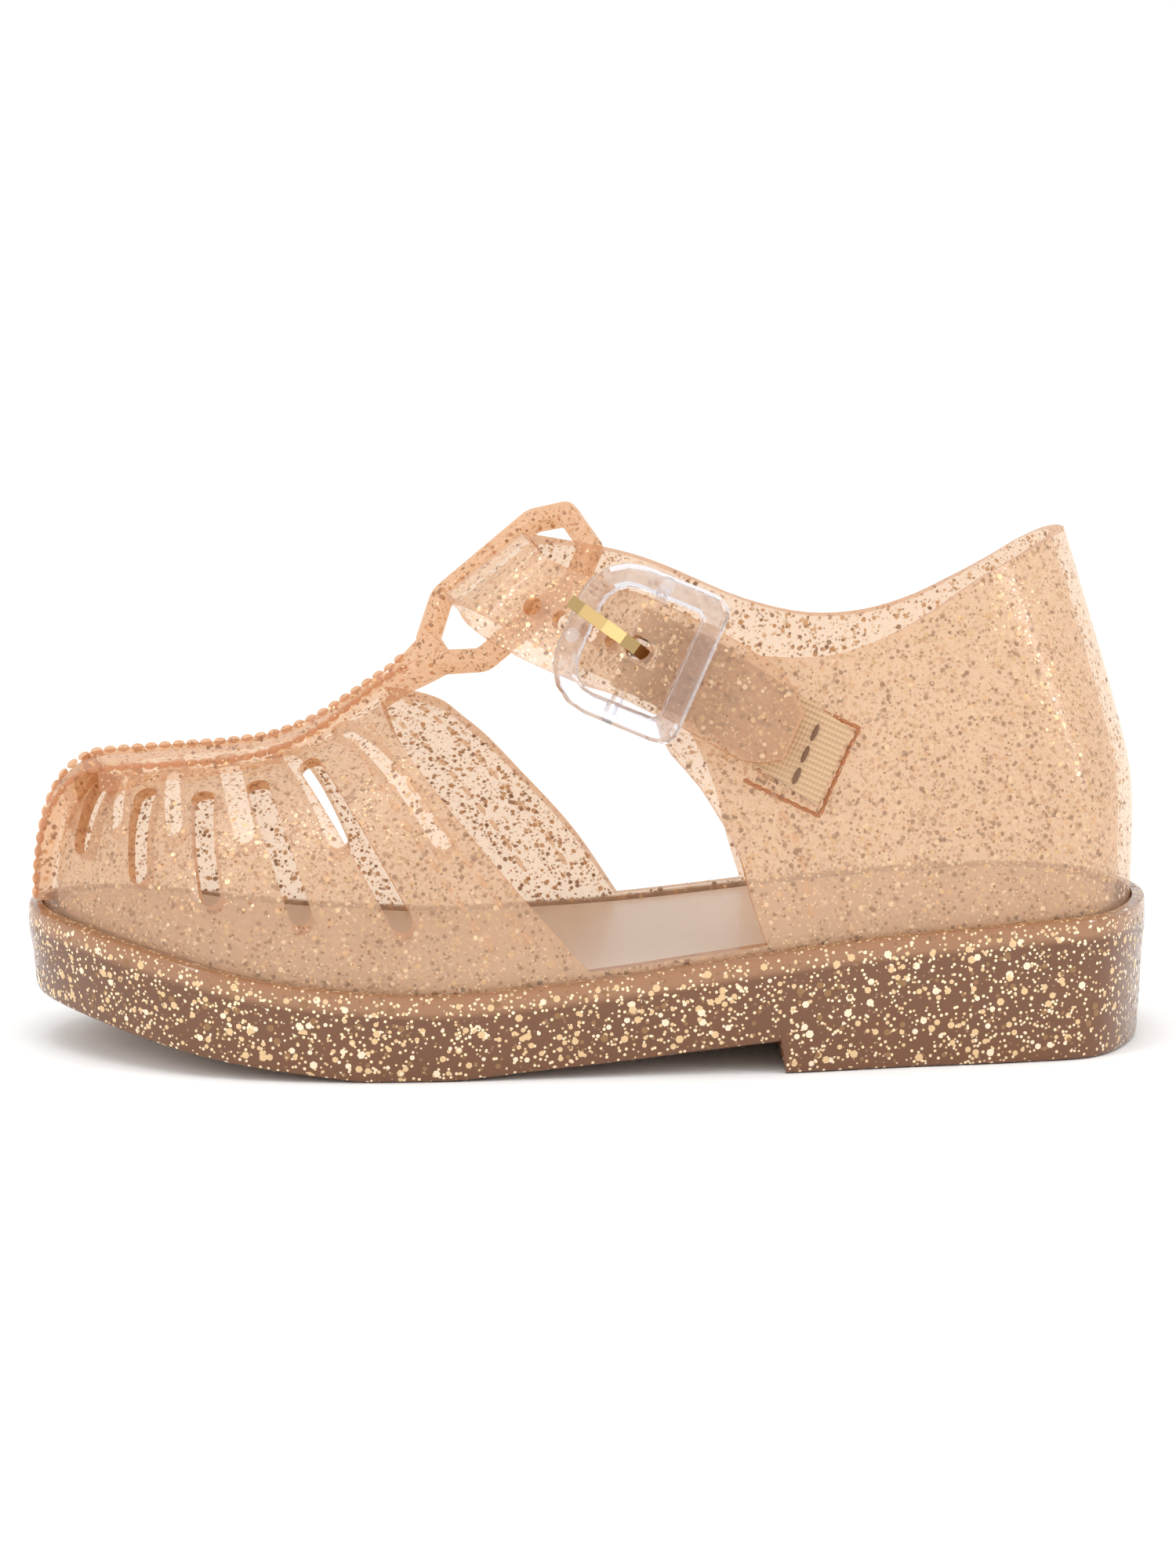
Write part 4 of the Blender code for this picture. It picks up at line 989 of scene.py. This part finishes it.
class Value:
    """A shader socket that takes part in sums, with numbers or other sockets on either side."""

    def __init__(self, tree, socket):
        self.tree = tree
        self.socket = socket

    def sum_of(self, operation, *items):
        node = self.tree.nodes.new("ShaderNodeMath")
        node.operation = operation
        for spot, item in zip(node.inputs, items):
            if isinstance(item, Value):
                self.tree.links.new(item.socket, spot)
            else:
                spot.default_value = item
        return Value(self.tree, node.outputs[0])

    def __add__(self, other):
        return self.sum_of("ADD", self, other)

    def __radd__(self, other):
        return self.sum_of("ADD", other, self)

    def __mul__(self, other):
        return self.sum_of("MULTIPLY", self, other)

    def __rmul__(self, other):
        return self.sum_of("MULTIPLY", other, self)

    def under(self, other):
        return self.sum_of("LESS_THAN", self, other)

    def sine(self):
        return self.sum_of("SINE", self)

    def most(self, other):
        return self.sum_of("MAXIMUM", self, other)


class Paint:
    """One material, built round its main shader."""

    def __init__(self, name, colour, roughness, **constants):
        self.material = bpy.data.materials.new(name)
        self.material.use_nodes = True
        self.tree = self.material.node_tree
        self.shader = self.tree.nodes["Principled BSDF"]
        self.set(Base_Color=(*colour, 1.0), Roughness=roughness, **constants)
        self.material.diffuse_color = (*colour, 1.0)

    def feed(self, socket, value):
        if isinstance(value, Value):
            self.tree.links.new(value.socket, socket)
        else:
            socket.default_value = value

    def set(self, **sockets):
        for name, value in sockets.items():
            self.feed(self.shader.inputs[name.replace("_", " ")], value)

    def node(self, kind, settings=(), output=0, **sockets):
        node = self.tree.nodes.new(kind)
        for name, value in dict(settings).items():
            setattr(node, name, value)
        for name, value in sockets.items():
            self.feed(node.inputs[name.replace("_", " ")], value)
        return Value(self.tree, node.outputs[output])

    def place(self):
        return self.node("ShaderNodeTexCoord", output="Object")

    def distance_along(self, axis):
        reach = self.node("ShaderNodeVectorMath", {"operation": "DOT_PRODUCT"}, "Value",
                          Vector=self.place())
        reach.socket.node.inputs[1].default_value = axis
        return reach

    def blend(self, share, first, second):
        node = self.tree.nodes.new("ShaderNodeMix")
        node.data_type = "RGBA"
        for index, value in ((0, share), (6, first), (7, second)):
            if isinstance(value, tuple):
                value = (*value, 1.0)
            self.feed(node.inputs[index], value)
        return Value(self.tree, node.outputs[2])

    def cells(self, size, output):
        return self.node("ShaderNodeTexVoronoi", {"feature": "F1"}, output, Vector=self.place(),
                         Scale=1.0 / size)

    def specks(self, size, radius):
        """Mask of small round specks, one in each cell, cut by the surface."""
        return self.cells(size, "Distance").under(radius / size)

    def random_of(self, size, channel):
        return self.node("ShaderNodeSeparateColor", output=channel, Color=self.cells(size, "Color"))

    def grain(self, size, detail=2.0):
        return self.node("ShaderNodeTexNoise", Vector=self.place(), Scale=1.0 / size, Detail=detail)

    def bump(self, height, depth, strength=1.0):
        self.set(Normal=self.node("ShaderNodeBump", Height=height, Distance=depth, Strength=strength))

    def mix_shaders(self, share, first, second):
        mixer = self.tree.nodes.new("ShaderNodeMixShader")
        self.feed(mixer.inputs[0], share)
        self.tree.links.new(first.socket, mixer.inputs[1])
        self.tree.links.new(second.socket, mixer.inputs[2])
        return Value(self.tree, mixer.outputs[0])

    def see_through(self, tint, share, glow=None):
        """Lets light through: share is how much the surface stops, glow what seeps through it."""
        body = Value(self.tree, self.shader.outputs[0])
        if glow:
            seep = self.node("ShaderNodeBsdfTranslucent", Color=(*glow, 1.0))
            body = self.mix_shaders(GLOW_SHARE, body, seep)
        clear = self.node("ShaderNodeBsdfTransparent", Color=(*tint, 1.0))
        mixed = self.mix_shaders(share, clear, body)
        out = self.tree.nodes["Material Output"]
        self.tree.links.new(mixed.socket, out.inputs["Surface"])


def jelly(name, colour, tint, solid):
    """Soft clear plastic with fine glitter dust in it."""
    paint = Paint(name, colour, JELLY_ROUGHNESS, IOR=1.5, Coat_Weight=0.9, Coat_Roughness=0.08)
    pale = paint.specks(DUST_CELL, DUST_RADIUS)
    dark = paint.specks(DARK_CELL, DARK_RADIUS)
    dark = dark * paint.random_of(DARK_CELL, "Green").under(DARK_SHARE)
    cloud = paint.grain(CLOUD_SIZE, 1.0)
    base = paint.blend(cloud, colour, shade(colour, 0.86))
    base = paint.blend(pale, base, PALE_GOLD)
    paint.set(Base_Color=paint.blend(dark, base, DARK_SPECK), Metallic=pale * 0.8)
    paint.see_through(tint, (pale * 0.8).most(dark).most(solid), glow=colour)
    paint.bump(paint.grain(RIPPLE_SIZE), RIPPLE_DEPTH)
    return paint.material


def sole_jelly(name, colour):
    """Thick brown plastic: dense glitter, and a lighter band under the rim that paints the glow of light
    through it.
    """
    paint = Paint(name, colour, JELLY_ROUGHNESS, IOR=1.5, Coat_Weight=0.25, Coat_Roughness=0.08,
                  Subsurface_Weight=0.1, Subsurface_Scale=0.003)
    band = paint.node("ShaderNodeAttribute", {"attribute_name": "painted_rim_glow"}, "Fac")
    cloud = paint.grain(CLOUD_SIZE, 2.0)
    base = paint.blend(cloud, colour, shade(colour, 0.78))
    # Painted glow: lighter under the rim, in place of light seeping through the plastic
    base = paint.blend(band * 0.75, base, PAINTED_RIM_GLOW)
    pale = paint.specks(DUST_CELL, 1.25 * DUST_RADIUS)
    dark = paint.specks(DARK_CELL, DARK_RADIUS) * paint.random_of(DARK_CELL, "Green").under(SOLE_DARK_SHARE)
    base = paint.blend(dark, base, DARK_SPECK)
    paint.set(Base_Color=paint.blend(pale, base, PALE_GOLD), Metallic=pale * 0.7)
    paint.bump(paint.grain(RIPPLE_SIZE), RIPPLE_DEPTH)
    return paint.material


def flake_metal(name, colour):
    return Paint(name, colour, 0.28, Metallic=0.85).material


def insole_sheet():
    paint = Paint("insole_satin", TAUPE, 0.38, Metallic=0.25, Coat_Weight=0.1)
    fine = paint.grain(0.35 * MM, 3.0)
    paint.set(Base_Color=paint.blend(fine, TAUPE, shade(TAUPE, 1.35)))
    paint.bump(fine, 0.05 * MM)
    return paint.material


def clear_plastic():
    paint = Paint("clear_buckle", (0.87, 0.87, 0.93), 0.05, IOR=1.46, Transmission_Weight=1.0,
                  Coat_Weight=0.3, Coat_Roughness=0.03)
    paint.set(Roughness=0.04 + paint.grain(5 * MM, 1.0) * 0.10)
    paint.see_through(BUCKLE_TINT, 0.85)
    return paint.material


def elastic_weave():
    """Ribbed elastic: ribs along its length and short crossing threads, darker in their grooves as painted
    shade.
    """
    paint = Paint("elastic_ribs", ELASTIC_TAN, 0.85, Sheen_Weight=0.3, Specular_IOR_Level=0.2)
    along, across, _, _ = buckle_frame()
    wave = (paint.distance_along(across) * (math.tau / RIB_PITCH)).sine()
    weft = (paint.distance_along(along) * (math.tau / THREAD_PITCH)).sine()
    height = wave * 0.5 + weft * 0.25 + 0.5
    # Painted shade: the lower parts of the ribs and threads are darker
    paint.set(Base_Color=paint.blend(height, shade(ELASTIC_TAN, 0.78), ELASTIC_TAN))
    paint.bump(height, RIB_DEPTH)
    return paint.material


def plate_rows():
    """Fine rows along the toe plate and T-bar: top middle, across, outward, half width, T-bar share."""
    along, across, off, start = loop_frame()
    end = start + along * LOOP_MEMBER * BAR_INTO_LOOP + off * LOOP_THICK / 2
    rows = [tuple(top) + (plate, bar) for top, plate, bar in plate_stations()]
    fine = spline(rows + [tuple(end) + (0.0, 1.0)], PLATE_SPACING)
    tops = [Vector(row[:3]) for row in fine]
    result = []
    for i, row in enumerate(fine):
        way = (tops[min(i + 1, len(tops) - 1)] - tops[max(i - 1, 0)]).normalized()
        level = Vector((0.0, 1.0, 0.0))
        left = max(1 - (len(fine) - 1 - i) * PLATE_SPACING / BAR_BLEND, 0.0)
        side = level.lerp(across, left).normalized()
        normal = way.cross(level).normalized().lerp(off, left).normalized()
        plate, bar = max(row[3], 0.0), min(max(row[4], 0.0), 1.0)
        result.append((tops[i], side, normal, (PLATE_WIDTH * plate + TBAR_WIDTH * bar) / 2, bar))
    return result


def build_fine_plate(collection, material):
    sections = []
    rows = plate_rows()
    for i, (top, side, normal, half, bar) in enumerate(rows):
        thick = mix(PLATE_PROUD + PLATE_EMBED, TBAR_THICK, bar)
        crown = mix(PLATE_CROWN, TBAR_CROWN, bar)
        left = min((len(rows) - 1 - i) * PLATE_SPACING / (2 * BAR_BLEND), 1.0)
        sink = mix(TBAR_END_SINK, PANEL_SINK, left)
        inner = half - PLATE_BORDER
        right = ((half, -BORDER_DROP), (half - BORDER_ROUND, 0.0), (inner, 0.0),
                 (inner - PANEL_SLOPE, -sink), (0.5 * inner, -sink), (0.0, -sink))
        profile = [(-half, -thick)] + [(-y, n) for y, n in right] + list(right[-2::-1])
        profile += [(half, -thick), (0.0, -thick)]
        sections.append([top + side * y + normal * (n - crown * (y / half) ** 2) for y, n in profile])
    return sweep_solid("plate_and_bar", sections, collection, material)


def lumps(name, spots, size, collection, material, rings=8):
    """Many small rounded lumps in one mesh. A spot is a middle, the way along it and the way out."""
    ball = bmesh.new()
    bmesh.ops.create_uvsphere(ball, u_segments=2 * rings, v_segments=rings, radius=1.0)
    shape = [(vert.co.x, vert.co.y, vert.co.z) for vert in ball.verts]
    faces = [[vert.index for vert in face.verts] for face in ball.faces]
    ball.free()
    points, polygons = [], []
    for middle, way, out in spots:
        out = out.normalized()
        way = (way - out * way.dot(out)).normalized()
        across = out.cross(way)
        first = len(points)
        points += [middle + way * (x * size.x) + across * (y * size.y) + out * (z * size.z)
                   for x, y, z in shape]
        polygons += [[first + index for index in face] for face in faces]
    return piece(name, points, polygons, collection, [material])


def piece(name, points, polygons, collection, materials, body="root"):
    mesh = bpy.data.meshes.new(name)
    mesh.from_pydata([tuple(point) for point in points], [], polygons)
    for material in materials:
        mesh.materials.append(material)
    mesh.shade_smooth()
    obj = add_object(name, mesh, collection)
    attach(obj, body)
    return obj


def spots_along(points, outs, pitch):
    """Spots for lumps every pitch along a line of points, from half a pitch on."""
    spots = []
    left = pitch / 2
    for near, far in zip(points, points[1:]):
        length = (far - near).length
        while left <= length and length > 0:
            point = near.lerp(far, left / length)
            closest = min(range(len(points)), key=lambda i: (points[i] - point).length)
            spots.append((point, (far - near).normalized(), outs[closest]))
            left += pitch
        left -= length
    return spots


def build_beads(collection, material):
    rows = plate_rows()
    spots = []
    for sign in (-1, 1):
        line, outs = [], []
        for top, side, normal, half, bar in rows[:-BEADLESS_ROWS]:
            y = sign * (half - PLATE_BORDER / 2)
            crown = mix(PLATE_CROWN, TBAR_CROWN, bar) * (y / half) ** 2
            line.append(top + side * y - normal * crown)
            outs.append(normal)
        spots += spots_along(line, outs, BEAD_PITCH)
    return lumps("border_beads", spots, BEAD_SIZE, collection, material)


def build_dashes(collection, material):
    """Moulded stitch marks beside the quarter's front edge and the toe cage's rear edge."""
    lines = (
        # skin, share round, lowest and highest share up
        (quarter_point, 0.075, 0.06, 0.62),
        (vamp_point, 0.035, 0.05, 0.82),
        (vamp_point, 0.085, 0.05, 0.82),
    )
    spots = []
    for surface, share, low, high in lines:
        for side in (LATERAL, MEDIAL):
            rises = [mix(low, high, i / STITCH_STEPS) for i in range(STITCH_STEPS + 1)]
            points = [surface(side, share, rise) for rise in rises]
            outs = [skin_normal(surface, side, share, rise) for rise in rises]
            spots += spots_along(points, outs, DASH_PITCH)
    return lumps("moulded_stitches", spots, DASH_SIZE, collection, material)


def tab_axes():
    """The elastic's sewn end: its middle on the quarter, the way it runs and the way across."""
    point, normal = find_on(quarter_point, LATERAL, TAB_END_X, SOLE_HEIGHT + TAB_END_RISE)
    run = (BUCKLE_ALONG - normal * BUCKLE_ALONG.dot(normal)).normalized()
    return point, run, normal.cross(run).normalized()


def tab_spot(back, aside, lift):
    """Place over the quarter's skin, back from the elastic's end and aside of its middle."""
    end, run, across = tab_axes()
    flat = end - run * back + across * aside
    point, normal = find_on(quarter_point, LATERAL, flat.x, flat.z)
    return point + normal * lift, normal


def build_tab_details(collection, edge, thread):
    """Raised outline round the elastic's sewn end, and the three stitches that hold it."""
    half = ELASTIC_WIDTH / 2 + PAD_MARGIN
    corners = ((PAD_LENGTH, -half), (-PAD_MARGIN, -half), (-PAD_MARGIN, half), (PAD_LENGTH, half))
    spots = []
    for (back_a, side_a), (back_b, side_b) in zip(corners, corners[1:]):
        steps = max(round(math.hypot(back_b - back_a, side_b - side_a) / PAD_STEP), 1)
        line = [tab_spot(mix(back_a, back_b, i / steps), mix(side_a, side_b, i / steps), 0.0)
                for i in range(steps + 1)]
        for (near, out), (far, _) in zip(line, line[1:]):
            spots.append(((near + far) / 2, far - near, out))
    outline = lumps("tab_pad_outline", spots, PAD_CORD, collection, edge, SMALL_RINGS)
    lift = CLEAR + 2 * ELASTIC_THICK + THREAD_LIFT
    _, _, across = tab_axes()
    streaks = []
    for aside in (-THREAD_GAP, 0.0, THREAD_GAP):
        middle, out = tab_spot(THREAD_BACK, aside, lift)
        streaks.append((middle, across, out))
    stitches = lumps("tab_stitches", streaks, THREAD_SIZE, collection, thread, SMALL_RINGS)
    return outline, stitches


def build_ejector_marks(collection, material):
    """Round marks on the buckle's bars, at distances along and across it."""
    axes = buckle_frame()
    bm = bmesh.new()
    side = (BUCKLE_WIDTH - BUCKLE_MEMBER) / 2
    front = (BUCKLE_LENGTH - BUCKLE_MEMBER) / 2
    for a, b in ((1.0 * MM, side), (0.8 * MM, -side), (-front, -1.6 * MM)):
        at = facing(place(axes, a, b, BUCKLE_THICK / 2 + MARK_LIFT), axes[2])
        bmesh.ops.create_cone(bm, cap_ends=True, segments=MARK_SIDES, radius1=MARK_FOOT,
                              radius2=MARK_TOP, depth=MARK_DEPTH, matrix=at)
    marks = new_object("buckle_ejector_marks", bm, collection, material)
    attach(marks, "root")
    return marks


def settle(obj, name, collection):
    """Plain mesh with the modifiers of an object worked in, shaded smooth between sharp edges."""
    graph = bpy.context.evaluated_depsgraph_get()
    mesh = bpy.data.meshes.new_from_object(obj.evaluated_get(graph))
    mesh.name = name
    mesh.shade_smooth()
    mesh.set_sharp_from_angle(angle=SHARP_ANGLE)
    return add_object(name, mesh, collection)


def stands_out(skin, point, depth):
    """Whether a flake's corner leaves the skin by more than its middle does."""
    nearest, normal, _, _ = skin.find_nearest(point)
    return (point - nearest).dot(normal) > max(-depth, 0.0) + FLAKE_SLACK


def flakes(name, source, choice, collection, materials):
    """Hexagonal glitter in one mesh, spread evenly over an object's skin, none standing out of it."""
    count, seed, size, depths, tilt, shares = choice
    random = np.random.default_rng(seed)
    low, high = cad_box
    mesh = source.data
    mesh.calc_loop_triangles()
    corners = np.array([vert.co for vert in mesh.vertices])
    triangles = np.array([triangle.vertices for triangle in mesh.loop_triangles])
    a, b, c = (corners[triangles[:, i]] for i in range(3))
    normals = np.cross(b - a, c - a)
    areas = np.linalg.norm(normals, axis=1)
    normals = normals / np.maximum(areas, 1e-15)[:, None]
    picked = random.choice(len(areas), size=count, p=areas / areas.sum())
    points, polygons, kinds = [], [], []
    skin = BVHTree.FromPolygons([tuple(corner) for corner in corners], triangles.tolist())
    for index in picked:
        u, v = random.random(2)
        if u + v > 1:
            u, v = 1 - u, 1 - v
        out = Vector(normals[index])
        depth = random.uniform(*depths)
        middle = Vector(a[index] + (b[index] - a[index]) * u + (c[index] - a[index]) * v) - out * depth
        lean = Vector(random.normal(size=3)) * tilt
        out = (out + lean).normalized()
        way = out.orthogonal().normalized()
        across = out.cross(way)
        radius = size * mix(FLAKE_LEAST, 1.0, random.random() ** 3)
        turn = random.uniform(0, math.pi)
        kind = int(random.choice(len(shares), p=shares))
        angles = [turn + math.tau * i / FLAKE_SIDES for i in range(FLAKE_SIDES)]
        rim = [middle + (way * math.cos(angle) + across * math.sin(angle)) * radius for angle in angles]
        inside = all(low[k] < point[k] < high[k] for point in rim for k in range(3))
        if not inside or any(stands_out(skin, point, depth) for point in rim):
            continue
        polygons.append(list(range(len(points), len(points) + FLAKE_SIDES)))
        points += rim
        kinds.append(kind)
    obj = piece(name, points, polygons, collection, materials)
    obj.data.polygons.foreach_set("use_smooth", [False] * len(polygons))
    obj.data.polygons.foreach_set("material_index", kinds)
    return obj


def build_sole(collection, material):
    """Sole through rings with an inset, a height and a share of the lighter band of painted glow."""
    turns = sole_turns()
    steps = (
        (SIDE_TAPER + BOTTOM_ROUND, underside_height, 0.0),
        (SIDE_TAPER + 0.3 * BOTTOM_ROUND, lambda x: underside_height(x) + 0.3 * BOTTOM_ROUND, 0.0),
        (SIDE_TAPER, lambda x: underside_height(x) + BOTTOM_ROUND, 0.0),
        (0.5 * SIDE_TAPER, lambda x: mix(underside_height(x), rim_height(x), 0.5), 0.0),
        (SKIN_INSET, lambda x: rim_height(x) - BAND_START, 0.0),
        (SKIN_INSET, lambda x: rim_height(x) - BAND_FULL, 0.9),
        (SKIN_INSET, lambda x: rim_height(x) - RIM_ROUND, 1.0),
        (0.3 * RIM_ROUND, lambda x: rim_height(x) - 0.3 * RIM_ROUND, 0.8),
        (RIM_ROUND, lambda x: rim_height(x) - RIM_INSET, 0.6),
        (LEDGE, lambda x: rim_height(x) - RIM_INSET, 0.5),
        (LEDGE, lambda x: rim_height(x) - TRAY_DEPTH, 0.3),
    )
    rings = [closed_ring(turns, inset, height) for inset, height, _ in steps]
    sole = ring_solid("sole_moulding", rings, collection, material)
    band = sole.data.attributes.new("painted_rim_glow", "FLOAT", "POINT")
    band.data.foreach_set("value", [share for _, _, share in steps for _ in rings[0]])
    return sole


def build_upper(collection, cutters, wall, edge, thick):
    """Wall, toe plate and loop in one, less the slots and holes, with a tone for edges and thick parts."""
    sheet = sheet_object("upper_sheet", upper_skin(), cutters, wall)
    sheet.data.materials.append(edge)
    sheet.data.materials.append(thick)
    modifier = sheet.modifiers.new("wall", "SOLIDIFY")
    modifier.thickness = WALL
    modifier.offset = -1.0
    modifier.use_even_offset = True
    modifier.material_offset_rim = 1
    added = [build_fine_plate(cutters, thick), build_loop(cutters, thick)]
    removed = [build_slots(cutters), build_holes(cutters)]
    for cutter in removed:
        cutter.data.materials.append(edge)
    for part in added + removed:
        boolean(sheet, part, "UNION" if part in added else "DIFFERENCE")
        sheet.modifiers[-1].material_mode = "TRANSFER"
    return settle(sheet, "upper_moulding", collection)


def dress_nodes():
    """Materials and rounded edges of the nodes that stay as the solids give them."""
    prong = Paint("gold_prong", PRONG_GOLD, 0.3, Metallic=1.0).material
    dressed = {
        "insole": (insole_sheet(), 0.0),
        "buckle_frame": (clear_plastic(), 0.0),
        "buckle_prong": (prong, PRONG_EDGE),
        "elastic_tab": (elastic_weave(), ELASTIC_EDGE),
    }
    for name, (material, round_edge) in dressed.items():
        node = frame["nodes"][name]
        node.data.materials.clear()
        node.data.materials.append(material)
        if round_edge:
            bevel = node.modifiers.new("round", "BEVEL")
            bevel.width = round_edge
            bevel.segments = 2
            bevel.limit_method = "ANGLE"


def build_all():
    parts = bpy.data.collections.new("jelly_sandal")
    cutters = bpy.data.collections.new("cutters")
    for collection in (parts, cutters):
        bpy.context.scene.collection.children.link(collection)
    wall = jelly("upper_wall", *WALL_JELLY)
    edge = jelly("upper_edge", *EDGE_JELLY)
    thick = jelly("upper_thick", *THICK_JELLY)
    metals = [flake_metal("flake_gold", FLAKE_GOLD), flake_metal("flake_pale", FLAKE_PALE),
              flake_metal("flake_brown", FLAKE_BROWN)]

    upper = build_upper(parts, cutters, wall, edge, thick)
    for guide in list(cutters.objects):
        bpy.data.objects.remove(guide, do_unlink=True)
    bpy.data.collections.remove(cutters)
    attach(upper, "root")
    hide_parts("upper")

    sole = build_sole(parts, sole_jelly("sole_brown", SOLE_BROWN))
    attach(sole, "root")
    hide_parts("outsole")

    extras = [build_beads(parts, thick), build_dashes(parts, wall)]
    extras.append(flakes("upper_glitter", upper, UPPER_FLAKES, parts, metals))
    flakes("sole_glitter", sole, SOLE_FLAKES, parts, metals)
    thread = Paint("brown_thread", THREAD_BROWN, 0.8).material
    outline, stitches = build_tab_details(parts, edge, thread)
    frost = Paint("buckle_frost", (0.9, 0.9, 0.92), 0.35)
    frost.see_through(BUCKLE_TINT, 0.16)
    build_ejector_marks(parts, frost.material)
    dress_nodes()


def build_camera():
    camera = bpy.data.cameras.new("camera")
    camera.lens = CAMERA_LENS
    camera.sensor_width = SENSOR_WIDTH
    camera.clip_start = 0.05
    obj = add_object("camera", camera, bpy.context.scene.collection)
    rise, turn = math.radians(CAMERA_RISE), math.radians(CAMERA_TURN)
    ahead = Vector((math.sin(turn) * math.cos(rise), math.cos(turn) * math.cos(rise), -math.sin(rise)))
    obj.location = CAMERA_TARGET - ahead * CAMERA_DISTANCE
    obj.rotation_euler = ahead.to_track_quat("-Z", "Y").to_euler()
    bpy.context.scene.camera = obj


def soft_light(name, spot, size, power):
    light = bpy.data.lights.new(name, "AREA")
    light.shape = "RECTANGLE"
    light.size, light.size_y = size
    light.energy = power
    obj = add_object(name, light, bpy.context.scene.collection)
    obj.location = spot
    obj.rotation_euler = (Vector(LIGHT_AIM) - Vector(spot)).to_track_quat("-Z", "Y").to_euler()


def build_studio():
    world = bpy.data.worlds.new("white_room")
    bpy.context.scene.world = world
    world.use_nodes = True
    sky = world.node_tree.nodes["Background"]
    sky.inputs["Color"].default_value = (1.0, 1.0, 1.0, 1.0)
    sky.inputs["Strength"].default_value = 1.0
    bpy.context.scene.view_settings.view_transform = "Standard"
    for light in LIGHTS:
        soft_light(*light)
    mesh = bpy.data.meshes.new("floor")
    corners = [(a * FLOOR_REACH, b * FLOOR_REACH, 0) for a, b in ((-1, -1), (1, -1), (1, 1), (-1, 1))]
    mesh.from_pydata(corners, [], [(0, 1, 2, 3)])
    mesh.materials.append(Paint("pale_floor", FLOOR_WHITE, 0.7, Specular_IOR_Level=0.2).material)
    floor = add_object("floor", mesh, bpy.context.scene.collection)


build_all()
build_camera()
build_studio()
